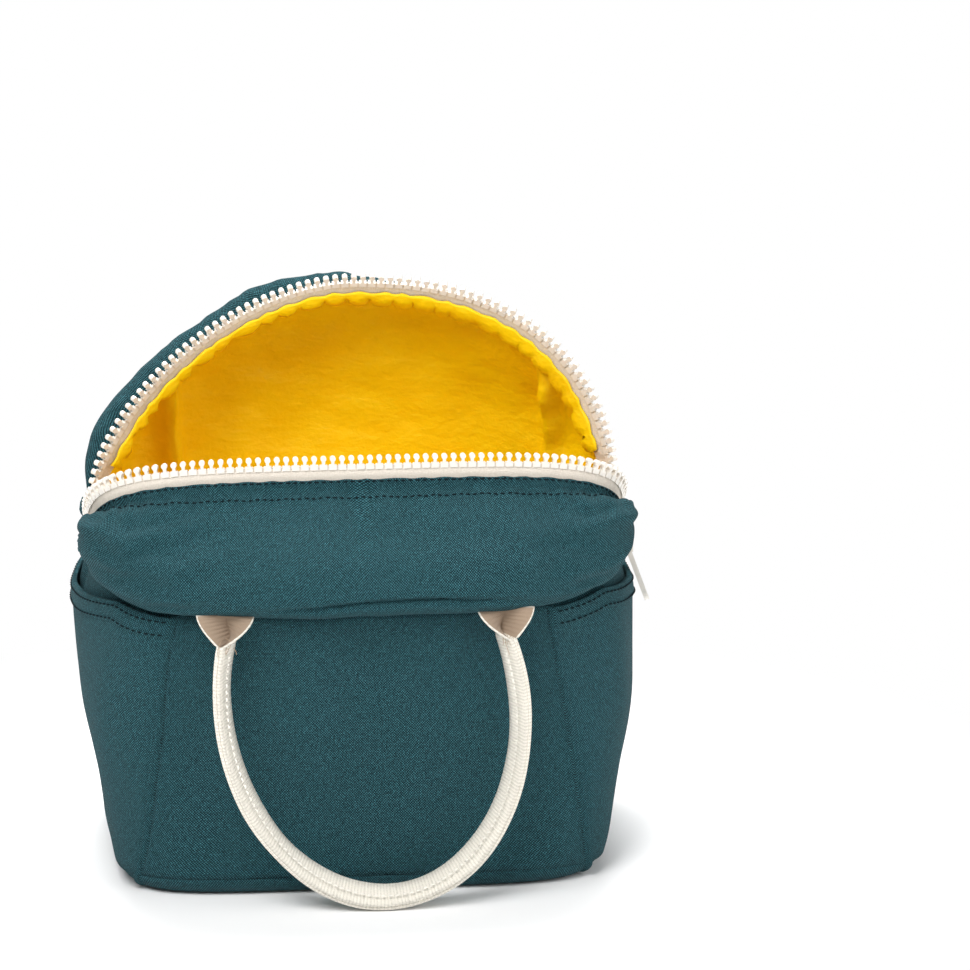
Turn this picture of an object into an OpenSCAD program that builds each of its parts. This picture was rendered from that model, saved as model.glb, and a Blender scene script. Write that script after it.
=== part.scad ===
// Soft canvas lunch bag with a zipped mouth, standing open on its base.
// Origin: centre of the underside. +X is the bag's right, its front faces -Y, +Z is up.

/* [Body] */
// Width of the bag across its base
base_w = 210; // [190:1:240]
// Depth of the bag across its base
base_d = 146; // [125:1:165]
// Width of the side panels at their full flare
body_w = 232; // [215:1:260]
// Height of the seam between the body panels and the yokes
seam_z = 131; // [115:1:150]
// How far the front panel leans out below its yoke
front_lean = 11; // [2:1:16]
// How far the back panel leans out below its yoke
back_lean = 4; // [0:1:14]
// Radius of the rounded edge round the base
base_r = 8; // [4:0.5:12]
// Height over which the sides flare out
flare_h = 34; // [20:1:60]
// Extra height of the side panels where they reach the ends of the zip
side_rise = 15; // [8:1:22]
// Depth of the upright fold in each side panel behind the end of the zip
fold_in = 8; // [7.5:0.5:12]
// Distance from the middle of the front panel to its side seam, at the base
seam_x_base = 95; // [85:1:99]
// Distance from the middle of the front panel to its side seam, at the yoke
seam_x_top = 80; // [68:1:90]

/* [Cloth] */
// Thickness of the canvas
canvas_t = 1.4; // [0.8:0.1:2]
// Thickness of the coated lining
lining_t = 0.8; // [0.5:0.1:1.4]

/* [Side pockets] */
// Height of the hem of the slip pockets
pocket_z = 123; // [90:1:126]
// Room between a slip pocket and the side panel behind it, at the middle of its hem
pocket_gap = 6; // [5.8:0.2:9]
// Extra height of the pocket's hem where it meets its seams
pocket_rise = 6; // [0:0.5:7]
// Height of the pocket's hem band
pocket_hem_h = 9; // [5:0.5:14]
// Thickness of the turned hem band
pocket_hem_t = 0.8; // [0.4:0.1:1.4]

/* [Zip] */
// Height of the front rim over the zip ends, along its own plane
front_rise = 72; // [50:1:90]
// Height of the back rim over the zip ends, along its own plane
back_rise = 106; // [80:1:130]
// Forward lean of the front rim from upright
front_tilt = 51; // [40:1:70]
// Backward lean of the back rim from upright
back_tilt = 14; // [5:1:25]
// Visible width of each zip tape
tape_w = 8.5; // [6:0.5:12]
// Width of tape left showing between the teeth and the cloth's edge
tape_show = 4.6; // [3:0.2:5.6]
// Thickness of the zip tape
tape_t = 1; // [0.6:0.1:1.2]
// Distance from one tooth to the next in a row
tooth_pitch = 4; // [3.8:0.05:4.6]
// Width of a tooth's head
head_w = 2.5; // [2:0.1:2.5]
// Width of a tooth's neck
neck_w = 1.3; // [0.9:0.1:1.3]
// Width of a tooth's foot, which grips the tape
foot_w = 3.2; // [2.6:0.1:3.4]
// Thickness of a tooth through the tape
tooth_t = 2.4; // [1.8:0.1:3]

/* [Slider] */
// Length of the slider
slider_l = 13; // [11:0.5:16]
// Travel of the slider over the joined teeth
slider_travel = 4; // [2:0.5:5]
// Thickness of each plate of the slider
plate_t = 1.6; // [1.2:0.1:2.2]
// Length of the pull tab
pull_l = 27; // [20:0.5:36]
// Width of the pull tab at its lower end
pull_w = 9.5; // [8:0.5:13]
// Thickness of the pull tab
pull_t = 2.2; // [1.6:0.1:3]
// Outward lean of the pull tab as it rests over the pocket's hem
pull_lean = 20; // [18:1:30]

/* [Handles] */
// Width of the webbing before it is folded
webbing_w = 25; // [20:0.5:32]
// Thickness of one layer of webbing
webbing_t = 1.8; // [1.2:0.1:2.5]
// Distance from the middle of a handle to each of its ends
handle_half = 60; // [50:1:64]
// Greatest half width of the hanging loop
loop_half = 64; // [60:1:75]
// Depth of the hanging loop below the yoke seam
loop_drop = 124; // [100:1:126]

/* [Bottle pocket] */
// Width of the inner bottle pocket
bottle_w = 78; // [70:1:90]
// Height of the pocket's gathered top
bottle_z = 158; // [120:1:165]
// Width of the elastic in the pocket's hem
elastic_w = 6; // [4:0.5:8]
// Thickness of the elastic
elastic_t = 1.2; // [0.8:0.1:1.5]

/* [Hidden] */
canvas_colour = "#2a5a62";
lining_colour = "#e8b400";
zip_colour = "#f0eeea";
tape_colour = "#ece4db";
webbing_colour = "#e8e0d2";
metal_colour = "#dcd8cf";
// Squareness of the outline at the base and at the yoke seam
base_square = 6;
top_square = 3.1;
// Squareness of the two rims
front_square = 4.5;
back_square_left = 1.72;
back_square_right = 2.35;
// Clearance between pieces that move past each other
fit = 0.3;
// Room on each side of a tape where it is sewn between the cloth and its lining
tape_lap = 1;
// Clearance between a tooth's head and the necks on either side of it
tooth_fit = 0.1;
// Height at which the fold in a side panel begins
fold_foot = 92;
// Steps round and up the cloth
panel_cols = 12;
side_cols = 12;
panel_rows = 8;
yoke_rows = 9;
// How far below its tape's lower edge a yoke's cloth closes up
tape_tail = 1.5;
rim_steps = 56;
fine = 48;

function lerp(a, b, k) = a + (b - a) * k;
function ease(k) = let (c = min(1, max(0, k))) c * c * (3 - 2 * c);
function unit(v) = v / norm(v);

// The outline of the bag at height z: a squared ellipse, given by its radius at angle f
function half_w(z) = body_w / 2 - (body_w - base_w) / 2 * exp(-z / flare_h);
function half_d(z, side) =
    base_d / 2 + (side < 0 ? front_lean : back_lean) * pow(min(1, z / seam_z), 2);
function square_at(z) = lerp(base_square, top_square, min(1, z / seam_z));
function edge_inset(z) = z < base_r ? base_r - sqrt(base_r * base_r - pow(base_r - z, 2)) : 0;
function oval_r(f, a, b, n) = 1 / pow(pow(abs(cos(f)) / a, n) + pow(abs(sin(f)) / b, n), 1 / n);
function wall(f, z, inset) =
    let (in = inset + edge_inset(z))
    let (r = oval_r(f, half_w(z) - in, half_d(z, sin(f)) - in, square_at(z)))
    [r * cos(f), r * sin(f), z];

// The angle of a side seam at height z, on the front (side -1) or the back (side 1)
function seam_x(z) = lerp(seam_x_base, seam_x_top, min(1, z / seam_z));
function seam_angle(z, side) =
    let (n = square_at(z))
    let (y = half_d(z, side) * pow(1 - pow(seam_x(z) / half_w(z), n), 1 / n))
    atan2(y, seam_x(z));

// Panel grids. Each is a list of columns, and each column a list of points from the base up
function row_z(k, top) = lerp(base_r, top, k / panel_rows);
function face_angle(z, side, i) =
    let (s = seam_angle(z, side))
    side * lerp(180 - s, s, i / panel_cols);
function face_grid(side, inset) = [
    for (i = [0:panel_cols]) [
        for (k = [0:panel_rows]) let (z = row_z(k, seam_z)) wall(face_angle(z, side, i), z, inset)
    ]
];
// A side panel runs from the front seam (share -1) to the back seam (share 1)
function side_share(i) = 2 * i / side_cols - 1;
function side_top(i) = seam_z + side_rise * pow(cos(90 * side_share(i)), 2);
function side_angle(z, i) =
    let (q = side_share(i))
    q * seam_angle(min(z, seam_z), q < 0 ? -1 : 1);
// The cloth behind the zip's end folds inwards, most of all in the middle of the side panel
function fold_at(i, z) =
    fold_in * max(0, 1 - abs(side_share(i)) * side_cols / 2)
    * ease((z - fold_foot) / (seam_z - fold_foot));
function mirrored(p, hand) = [p.x * hand, p.y, p.z];
function side_point(hand, i, z, inset) =
    mirrored(wall(side_angle(z, i), z, inset + fold_at(i, z)), hand);
function side_grid(hand, inset) = [
    for (i = [0:side_cols]) [
        for (k = [0:panel_rows]) side_point(hand, i, row_z(k, side_top(i)), inset)
    ]
];

// The room in a slip pocket: none at its seams and foot, all of it in the middle of its hem
room_spread = 0.75;
room_growth = 1.6;
function pocket_room_at(i, z) =
    abs(side_share(i)) == 1 ? 0
    : pocket_gap * pow(cos(90 * side_share(i)), room_spread)
        * ease(room_growth * (z - base_r) / (pocket_z - base_r));
function pocket_top(i) = pocket_z + pocket_rise * pow(side_share(i), 2);
function pocket_point(hand, i, z, out) =
    mirrored(wall(side_angle(z, i), z, -out - pocket_room_at(i, z)), hand);
// The pocket's upper rows are its hem's
hem_rows = 2;
slip_rows = panel_rows + hem_rows;
function pocket_row(k, top) =
    k < panel_rows
    ? row_z(k, top - pocket_hem_h)
    : lerp(top - pocket_hem_h, top, (k - panel_rows) / hem_rows);
function pocket_grid(hand, out) = [
    for (i = [0:side_cols]) [
        for (k = [0:slip_rows]) pocket_point(hand, i, pocket_row(k, pocket_top(i)), out)
    ]
];

// A pocket's hem band is a second layer along its top
function hem_grid(hand, out) = [
    for (i = [0:side_cols]) [
        for (k = [panel_rows:slip_rows]) pocket_point(hand, i, pocket_row(k, pocket_top(i)), out)
    ]
];

// A sheet of cloth between two grids of points
function cell(i, k, rows) = i * rows + k;
function facing_out(outer, inner) =
    let (i = floor(len(outer) / 2), k = floor(len(outer[0]) / 2))
    let (across = outer[i][k] - outer[i - 1][k], up = outer[i][k] - outer[i][k - 1])
    cross(across, up) * (outer[i][k] - inner[i][k]) > 0;
function backwards(face) = [for (i = [len(face) - 1:-1:0]) face[i]];
module cloth(outer, inner) {
    cols = len(outer) - 1;
    rows = len(outer[0]) - 1;
    wide = rows + 1;
    far = (cols + 1) * wide;
    faces = concat(
        [for (i = [0:cols - 1], k = [0:rows - 1]) let (a = cell(i, k, wide))
            each [[a, a + wide + 1, a + wide], [a, a + 1, a + wide + 1]]],
        [for (i = [0:cols - 1], k = [0:rows - 1]) let (a = far + cell(i, k, wide))
            each [[a, a + wide, a + wide + 1], [a, a + wide + 1, a + 1]]],
        [for (i = [0:cols - 1]) let (a = cell(i, 0, wide), b = a + wide)
            each [[a, b, far + b], [a, far + b, far + a]]],
        [for (i = [0:cols - 1]) let (a = cell(i, rows, wide), b = a + wide)
            each [[a, far + b, b], [a, far + a, far + b]]],
        [for (k = [0:rows - 1]) let (a = cell(0, k, wide), b = a + 1)
            each [[a, far + b, b], [a, far + a, far + b]]],
        [for (k = [0:rows - 1]) let (a = cell(cols, k, wide), b = a + 1)
            each [[a, b, far + b], [a, far + b, far + a]]]
    );
    out = facing_out(outer, inner);
    polyhedron([each [for (c = outer) each c], each [for (c = inner) each c]],
        out ? faces : [for (f = faces) backwards(f)]);
}

// The rims. Each lies in a plane that hinges about the line through the ends of the zip
zip_end_z = seam_z + side_rise;
zip_half = half_w(zip_end_z) + tape_t / 2;
rim_half = zip_half + 2 * fit;
// A tooth is a foot that grips the tape, a neck and a round head
foot_h = 2.2;
foot_up = 0.4;
head_r = head_w / 2;
tooth_h = foot_up + 2 * head_r + neck_w;
// Half the distance between the two tapes' edges where the teeth are joined, and at the zip ends
joined_gap = (tooth_h + foot_up + tooth_fit) / 2;
spread = 0.15;
slider_z = zip_end_z - slider_travel - slider_l - fit;
joined_share = 0.4;
// The two rows of joined teeth stand half a pitch apart
stagger = 1 / 4;
joined_top = slider_z + slider_l * joined_share;
function gap_at(z) = joined_gap + spread * max(0, z - joined_top);
end_gap = gap_at(zip_end_z);
function rim_plane(side) = side < 0 ? front_tilt : back_tilt;
function rim_rise(side) = side < 0 ? front_rise : back_rise;
function rim_square(side, f) =
    side < 0 ? front_square : f < 90 ? back_square_left : back_square_right;
function rim_up(side) = [0, side * sin(rim_plane(side)), cos(rim_plane(side))];
function rim_over(side) = [0, -side * cos(rim_plane(side)), sin(rim_plane(side))];
function rim_point(side, f) =
    let (r = oval_r(f, rim_half, rim_rise(side), rim_square(side, f)))
    [-r * cos(f), side * end_gap, zip_end_z] + r * sin(f) * rim_up(side);
function rim_line(side) = [for (i = [0:4 * rim_steps]) rim_point(side, 180 * i / (4 * rim_steps))];

// Distances along a line of points, and the point at a given distance
function run(line) =
    let (steps = [for (i = [1:len(line) - 1]) norm(line[i] - line[i - 1])])
    [for (i = 0, d = 0; i <= len(steps); d = d + (i < len(steps) ? steps[i] : 0), i = i + 1) d];
function table_of(line, axis) =
    let (d = run(line))
    [for (i = [0:len(line) - 1]) [d[i], line[i][axis]]];
function point_at(tables, d) = [for (t = tables) lookup(d, t)];
function tables_of(line) = [for (axis = [0:2]) table_of(line, axis)];
function last(list) = list[len(list) - 1];

front_line = tables_of(rim_line(-1));
back_line = tables_of(rim_line(1));
front_length = last(run(rim_line(-1)));
back_length = last(run(rim_line(1)));
function line_of(side) = side < 0 ? front_line : back_line;
function length_of(side) = side < 0 ? front_length : back_length;

// The frame of a rim at share u of its length: place, along, teeth and face directions.
// The teeth stand up along the rims' middles, and turn to face each other at the zip ends.
front_roll = 60;
back_roll = 40;
roll_run = 0.12;
probe = 0.5;
function roll_at(side, u) =
    lerp(90, side < 0 ? front_roll : back_roll, ease(min(u, 1 - u) / roll_run));
function rim_frame(side, u) =
    let (d = u * length_of(side), t = line_of(side))
    let (along = unit(point_at(t, min(length_of(side), d + probe)) - point_at(t, max(0, d - probe))))
    let (over = rim_over(side))
    let (outward = side * unit(cross(over, along)))
    let (teeth = cos(roll_at(side, u)) * outward + sin(roll_at(side, u)) * over)
    [point_at(t, d), along, teeth, cross(along, teeth)];
module placed(frame) {
    p = frame[0];
    a = frame[1];
    b = frame[2];
    c = frame[3];
    multmatrix([[a.x, b.x, c.x, p.x], [a.y, b.y, c.y, p.y], [a.z, b.z, c.z, p.z], [0, 0, 0, 1]])
        children();
}

// A tape hangs from its row of teeth
function tape_edge(frame, depth, face) = frame[0] - depth * frame[2] + face * frame[3];
// Each rim stops short of the hinge line by this share of its length
rim_end = 0.04;
cloth_end = 0.022;
module rim_tape(side) {
    frames = [for (i = [0:rim_steps]) rim_frame(side, lerp(rim_end, 1 - rim_end, i / rim_steps))];
    cloth(
        [for (f = frames) [for (d = [tape_w, 0]) tape_edge(f, d, tape_t / 2)]],
        [for (f = frames) [for (d = [tape_w, 0]) tape_edge(f, d, -tape_t / 2)]]
    );
}

module tooth() {
    linear_extrude(tooth_t, center = true) {
        translate([-foot_w / 2, foot_up - foot_h])
            square([foot_w, foot_h]);
        translate([-neck_w / 2, 0])
            square([neck_w, tooth_h - head_r]);
        translate([0, tooth_h - head_r])
            circle(head_r, $fn = fine);
    }
}
module rim_teeth(side) {
    length = length_of(side);
    count = floor((1 - 2 * rim_end) * length / tooth_pitch);
    start = (length - (count - 1) * tooth_pitch) / 2;
    for (i = [0:count - 1])
        placed(rim_frame(side, (start + i * tooth_pitch) / length))
            tooth();
}

// The joined end of the zip on the bag's right side, and its stops
stop_h = 3;
joined_pairs = 3;
stop_z = joined_top - (joined_pairs - stagger) * tooth_pitch - foot_w / 2 - tooth_fit - stop_h;
tape_foot_z = stop_z - fit;
tape_half = norm([side_point(1, side_cols / 2 + 1, seam_z, 0).y, 0]);
joined_slope = 6.5;
module joined_tape(row) {
    translate([zip_half - tape_t / 2, 0, 0])
        rotate([90, 0, 90])
            linear_extrude(tape_t)
                polygon([
                    [row * joined_gap, tape_foot_z],
                    [row * tape_half, tape_foot_z],
                    [row * tape_half, zip_end_z - joined_slope],
                    [row * gap_at(zip_end_z), zip_end_z - fit],
                    [row * joined_gap, joined_top]
                ]);
}
module joined_teeth() {
    for (row = [-1, 1], k = [0:joined_pairs - 1])
        let (z = joined_top - (k + 0.5 + row * stagger) * tooth_pitch)
            placed([[zip_half, row * joined_gap, z], [0, 0, 1], [0, -row, 0], [row, 0, 0]])
                tooth();
}
module end_stop(gap, z) {
    w = 2 * (gap + foot_h - foot_up);
    translate([0, -w / 2, z])
        cube([tooth_t, w, stop_h]);
}

// The slider: two plates joined by a post, with flanges beside the teeth and a bail on its face
channel_t = tooth_t / 2 + fit;
plate_out = channel_t + plate_t;
flange_w = 1.2;
post_w = 2.6;
post_l = 3.5;
bail_w = 3;
bail_t = 1.5;
bail_gap = 3.7;
bail_l = 11;
shoulder = 0.55;
function channel_half(z) = gap_at(z + slider_travel) + foot_h - foot_up + fit;
module slider_outline(grow) {
    foot = channel_half(slider_z) + grow;
    waist = channel_half(joined_top - slider_travel) + grow;
    head = channel_half(slider_z + slider_l) + grow;
    polygon([
        [-foot, slider_z], [foot, slider_z], [waist, joined_top - slider_travel],
        [head, slider_z + slider_l - flange_w], [head - flange_w, slider_z + slider_l],
        [flange_w - head, slider_z + slider_l], [-head, slider_z + slider_l - flange_w],
        [-waist, joined_top - slider_travel]
    ]);
}
// Upright profiles drawn as [across, up] stand in the plane of the side panel
module upright(x, t) {
    translate([x, 0, 0])
        rotate([90, 0, 90])
            linear_extrude(t)
                children();
}
module slider_body() {
    for (face = [-1, 1])
        upright(face < 0 ? -plate_out : channel_t, plate_t)
            slider_outline(flange_w);
    for (face = [-1, 1])
        upright(face < 0 ? -channel_t : tape_t / 2 + fit, channel_t - tape_t / 2 - fit)
            difference() {
                slider_outline(flange_w);
                slider_outline(0);
            }
    upright(-channel_t, 2 * channel_t)
        translate([0, slider_z + slider_l - post_l])
            polygon([[-post_w / 2, post_l / 2], [0, 0], [post_w / 2, post_l / 2],
                [post_w / 2, post_l], [-post_w / 2, post_l]]);
}
bail_z = slider_z + slider_l - bail_l;
module bail() {
    translate([0, bail_w / 2, 0])
        rotate([90, 0, 0])
            linear_extrude(bail_w)
                translate([plate_out, bail_z])
                    difference() {
                        bail_side(bail_l, bail_gap + bail_t);
                        translate([0, bail_t])
                            bail_side(bail_l - 2 * bail_t, bail_gap);
                    }
}
// The bail from the side: a bar with round shoulders, square where it meets the plate
module bail_side(length, height) {
    r = height * shoulder;
    square([height - r, length]);
    square([height, length - r]);
    translate([height - r, length - r])
        circle(r, $fn = fine);
    translate([0, r])
        square([height, length - 2 * r]);
}

// The pull tab hangs from a round pin under the bail
pin_r = 0.9;
pin_x = plate_out + bail_gap - fit - pin_r;
pin_z = bail_z + bail_t + fit + pin_r;
eye_half = bail_w / 2 + fit;
arm_w = 1.4;
eye_l = 4.6;
hole_r = 2.5;
hole_l = 8;
module pull() {
    tip_r = pull_w / 2;
    translate([zip_half + pin_x, 0, pin_z])
        rotate([0, -pull_lean, 0]) {
            rotate([90, 0, 0])
                cylinder(r = pin_r, h = 2 * eye_half + arm_w, center = true, $fn = fine);
            rotate([90, 0, 90])
                linear_extrude(pull_t, center = true)
                    difference() {
                        union() {
                            translate([-eye_half - arm_w, -eye_l - arm_w])
                                square([2 * (eye_half + arm_w), eye_l + arm_w + pin_r]);
                            polygon([
                                [-eye_half - arm_w, -eye_l], [eye_half + arm_w, -eye_l],
                                [tip_r, tip_r - pull_l], [-tip_r, tip_r - pull_l]
                            ]);
                            translate([0, tip_r - pull_l])
                                circle(tip_r, $fn = fine);
                        }
                        translate([-eye_half, -eye_l])
                            square([2 * eye_half, eye_l + 2 * pin_r]);
                        for (end = [0, 1])
                            translate([0, tip_r - pull_l + end * (hole_l - 2 * hole_r)])
                                circle(hole_r, $fn = fine);
                        translate([-hole_r, tip_r - pull_l])
                            square([2 * hole_r, hole_l - 2 * hole_r]);
                    }
        }
}

// The yokes: the upper cloth between the body's seam and each rim
half_side = side_cols / 2;
function seam_point(side, j, inset) =
    j <= half_side
    ? let (i = half_side + side * j) side_point(-1, i, side_top(i), inset)
    : j < half_side + panel_cols
    ? wall(face_angle(seam_z, side, j - half_side), seam_z, inset)
    : let (i = half_side + side * (2 * half_side + panel_cols - j)) side_point(1, i, side_top(i), inset);
yoke_cols = 2 * half_side + panel_cols;
function seam_line(side, inset) = [for (j = [0:yoke_cols]) seam_point(side, j, inset)];
function outward_at(side, j) =
    let (a = seam_point(side, max(0, j - 1), 0), b = seam_point(side, min(yoke_cols, j + 1), 0))
    let (d = b - a)
    j == 0 ? [-1, 0, 0] : j == yoke_cols ? [1, 0, 0] : side * unit([-d.y, d.x, 0]);
function bezier(a, b, c, d, t) =
    let (s = 1 - t)
    s * s * s * a + 3 * s * s * t * b + 3 * s * t * t * c + t * t * t * d;
function fold_out(side) = side < 0 ? front_fold_out : back_fold_out;
function fold_up(side) = side < 0 ? front_fold_up : back_fold_up;
function fullness(side) = side < 0 ? front_fullness : back_fullness;
function brim_in(side) = side < 0 ? front_brim_in : back_brim_in;
function brim_out(side, u) =
    side < 0 ? front_brim_out : lerp(back_brim_left, back_brim_right, ease((u - brim_turn) / brim_turn));
function yoke_base(side) =
    let (d = run(seam_line(side, 0)))
    [
        for (j = [0:yoke_cols])
            let (u = d[j] / last(d), w = pow(sin(180 * u), fullness(side)))
            let (rim = rim_frame(side, min(1 - cloth_end, max(cloth_end, u))))
            let (face = -side * (tape_t / 2 + tape_lap + canvas_t))
            let (a = seam_point(side, j, 0), e = tape_edge(rim, tape_w + tape_tail, face))
            let (b = a + w * (fold_out(side) * outward_at(side, j) + fold_up(side) * [0, 0, 1]))
            let (c = e - w * brim_in(side) * rim[2] + w * brim_out(side, u) * outward_at(side, j))
            [
                for (k = [0:yoke_rows - 1]) bezier(a, b, c, e, k / (yoke_rows - 1)),
                tape_edge(rim, tape_show, face)
            ]
    ];
// Inward direction of a yoke's cloth: across the tape beside it, and square to the cloth below it
function yoke_inward(side, grid, j, k) =
    k >= yoke_rows - 1
    ? let (a = grid[max(0, j - 1)][k], b = grid[min(yoke_cols, j + 1)][k])
        side * unit(cross(b - a, grid[j][yoke_rows] - grid[j][yoke_rows - 1]))
    : side * yoke_normal(grid, j, k);
function yoke_normal(grid, j, k) =
    let (j0 = max(0, j - 1), j1 = min(yoke_cols, j + 1), k0 = max(0, k - 1), k1 = min(yoke_rows, k + 1))
    unit(cross(grid[j1][k] - grid[j0][k], grid[j][k1] - grid[j][k0]));
function yoke_grid(side, base, inset, part) = [
    for (j = [0:yoke_cols]) [
        for (k = [0:yoke_rows])
            let (in = inset + (k >= yoke_rows - 1 ? part : 0))
            k == 0 ? seam_point(side, j, inset) : base[j][k] + in * yoke_inward(side, base, j, k)
    ]
];
// The lining parts from the canvas beside the tape, to take the tape between them
module yoke(side, inset, thickness, part = 0) {
    base = yoke_base(side);
    cloth(yoke_grid(side, base, inset, part), yoke_grid(side, base, inset + thickness, part));
}
// How far each yoke's cloth swells from its seam and from its rim
front_fullness = 0.7;
back_fullness = 0.9;
front_fold_out = 31;
front_fold_up = -5;
front_brim_in = 22;
front_brim_out = 17;
back_fold_out = 9;
back_fold_up = 66;
back_brim_in = 2;
back_brim_left = 32;
back_brim_right = 14;
brim_turn = 0.4;

// The base is a shallow dish of cloth
dish_rings = 4;
function base_angles() = concat(
    [for (i = [0:panel_cols - 1]) face_angle(base_r, -1, i)],
    [for (i = [0:side_cols - 1]) side_angle(base_r, i)],
    [for (i = [panel_cols:-1:1]) face_angle(base_r, 1, i)],
    [for (i = [side_cols:-1:1]) 180 - side_angle(base_r, i)]
);
function ring_at(z, inset) = [for (f = base_angles()) wall(f, z, inset)];
module dish(inset, floor_z, thickness) {
    n = len(base_angles());
    outer = [for (j = [dish_rings:-1:0]) each ring_at(lerp(floor_z, base_r, j / dish_rings), inset)];
    top = floor_z + thickness;
    inner = [for (j = [0:dish_rings]) each ring_at(lerp(top, base_r, j / dish_rings), inset + thickness)];
    bands = 2 * dish_rings + 1;
    polyhedron(concat(outer, inner), concat(
        [for (j = [0:bands], i = [0:n - 1]) if (j != dish_rings)
            let (a = j * n + i, b = j * n + (i + 1) % n)
            let (c = ((j + 1) % (bands + 1)) * n + (i + 1) % n, d = ((j + 1) % (bands + 1)) * n + i)
            each [[a, b, c], [a, c, d]]],
        [[for (i = [0:n - 1]) dish_rings * n + i]],
        [[for (i = [n - 1:-1:0]) (dish_rings + 1) * n + i]]
    ));
}

// The handles: webbing spread flat at its seam, folded double round the hanging loop
folded_w = webbing_w / 2;
folded_t = 2 * webbing_t;
pinch_l = 13;
loop_skew = 8;
loop_steps = 30;
pinch_steps = 4;
handle_tuck = 2.2;
handle_z = seam_z - webbing_t - handle_tuck;
pinch_z = handle_z - pinch_l;
loop_low = handle_z - loop_drop + folded_t / 2;
loop_turn = acos(handle_half / loop_half);
loop_rise = (pinch_z - loop_low) / (1 + sin(loop_turn));
function hinge_out(side) = half_d(seam_z, side) + webbing_t + fit;
function strap_out(side) = half_d(seam_z, side) + folded_w / 2 + 2 * fit;
function loop_point(a) =
    let (z = loop_low + loop_rise * (1 + sin(a)))
    [-loop_half * cos(a) + loop_skew * (pinch_z - z) / (pinch_z - loop_low), z];
// Stations: [x, z, half width across the loop's plane, half thickness in it, distance out]
function end_station(hand, k, side) =
    let (q = ease(k))
    [hand * handle_half, handle_z - k * pinch_l, lerp(webbing_t, folded_w, q) / 2,
        lerp(webbing_w, folded_t, q) / 2, lerp(hinge_out(side), strap_out(side), q)];
function loop_station(a, side) =
    let (p = loop_point(a)) [p.x, p.y, folded_w / 2, folded_t / 2, strap_out(side)];
function stations(side) = concat(
    [for (k = [0:pinch_steps - 1]) end_station(-1, k / pinch_steps, side)],
    [for (i = [0:loop_steps]) loop_station(lerp(loop_turn, -180 - loop_turn, i / loop_steps), side)],
    [for (k = [pinch_steps - 1:-1:0]) end_station(1, k / pinch_steps, side)]
);
module handle(side) {
    s = stations(side);
    n = len(s) - 1;
    function across(i) =
        let (a = s[max(0, i - 1)], b = s[min(n, i + 1)], d = unit([b[0] - a[0], b[1] - a[1]]))
        i == 0 || i == n ? [-d.y > 0 ? 1 : -1, 0] : [-d.y, d.x];
    function corner(i, u, v) =
        let (t = s[i], m = across(i))
        [t[0] + v * t[3] * m.x, side * (t[4] + u * t[2]), t[1] + v * t[3] * m.y];
    cloth(
        [for (i = [0:n]) [corner(i, 1, -1), corner(i, 1, 1)]],
        [for (i = [0:n]) [corner(i, -1, -1), corner(i, -1, 1)]]
    );
    for (hand = [-1, 1])
        translate([hand * handle_half, side * hinge_out(side), handle_z])
            rotate([0, 90, 0])
                cylinder(r = webbing_t / 2, h = webbing_w, center = true, $fn = fine);
}

// The inner bottle pocket stands on the floor at the right end of the bag
pocket_cols = 20;
pocket_rows = 8;
hem_h = elastic_w + 2 * elastic_t;
gather = 10;
t_probe = 0.01;
front_root = -20;
back_root = 38;
bottle_dip = 4;
front_lead = 12;
back_lead = 14;
function bottle_top(t) = lerp(seam_z - bottle_dip, bottle_z, pow(sin(180 * t), 0.5));
function bottle_point(t, z, in) =
    let (reach = bottle_w - gather * pow(z / bottle_z, 2))
    let (a = wall(front_root, z, canvas_t + lining_t + fit), b = wall(back_root, z, canvas_t + lining_t + fit))
    let (x = (8 * (half_w(z) - canvas_t - lining_t - reach) - a.x - b.x) / 6)
    let (c = [x, a.y - front_lead, z], d = [x, b.y - back_lead, z])
    let (p = bezier(a, c, d, b, t), q = bezier(a, c, d, b, t + t_probe))
    p + in * unit([q.y - p.y, p.x - q.x, 0]);
function bottle_grid(in, low, high) = [
    for (i = [0:pocket_cols]) let (t = i / pocket_cols) [
        for (k = [0:pocket_rows])
            let (top = bottle_top(t))
            let (z = lerp(low < 0 ? top + low : low, top + high, k / pocket_rows))
            bottle_point(t, z, in)
    ]
];
module bottle_cloth(in, thickness, low, high) {
    cloth(bottle_grid(in, low, high), bottle_grid(in + thickness, low, high));
}

module base_panel() { color(canvas_colour) dish(0, 0, canvas_t); }
module front_panel() { color(canvas_colour) cloth(face_grid(-1, 0), face_grid(-1, canvas_t)); }
module back_panel() { color(canvas_colour) cloth(face_grid(1, 0), face_grid(1, canvas_t)); }
module left_side_panel() { color(canvas_colour) cloth(side_grid(-1, 0), side_grid(-1, canvas_t)); }
module right_side_panel() { color(canvas_colour) cloth(side_grid(1, 0), side_grid(1, canvas_t)); }
module side_pocket(hand) {
    color(canvas_colour)
        cloth(pocket_grid(hand, canvas_t), pocket_grid(hand, 0));
}
module left_side_pocket() { side_pocket(-1); }
module right_side_pocket() { side_pocket(1); }
module pocket_hem(hand) {
    color(canvas_colour)
        cloth(hem_grid(hand, canvas_t + pocket_hem_t), hem_grid(hand, canvas_t));
}
module left_pocket_hem() { pocket_hem(-1); }
module right_pocket_hem() { pocket_hem(1); }
module lining_base() { color(lining_colour) dish(canvas_t, canvas_t, lining_t); }
inner_face = canvas_t + lining_t;
tape_room = tape_t + 2 * tape_lap;
module lining_front() { color(lining_colour) cloth(face_grid(-1, canvas_t), face_grid(-1, inner_face)); }
module lining_back() { color(lining_colour) cloth(face_grid(1, canvas_t), face_grid(1, inner_face)); }
module lining_left() { color(lining_colour) cloth(side_grid(-1, canvas_t), side_grid(-1, inner_face)); }
module lining_right() { color(lining_colour) cloth(side_grid(1, canvas_t), side_grid(1, inner_face)); }
module bottle_pocket() { color(lining_colour) bottle_cloth(0, lining_t, base_r + fit, 0); }
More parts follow.
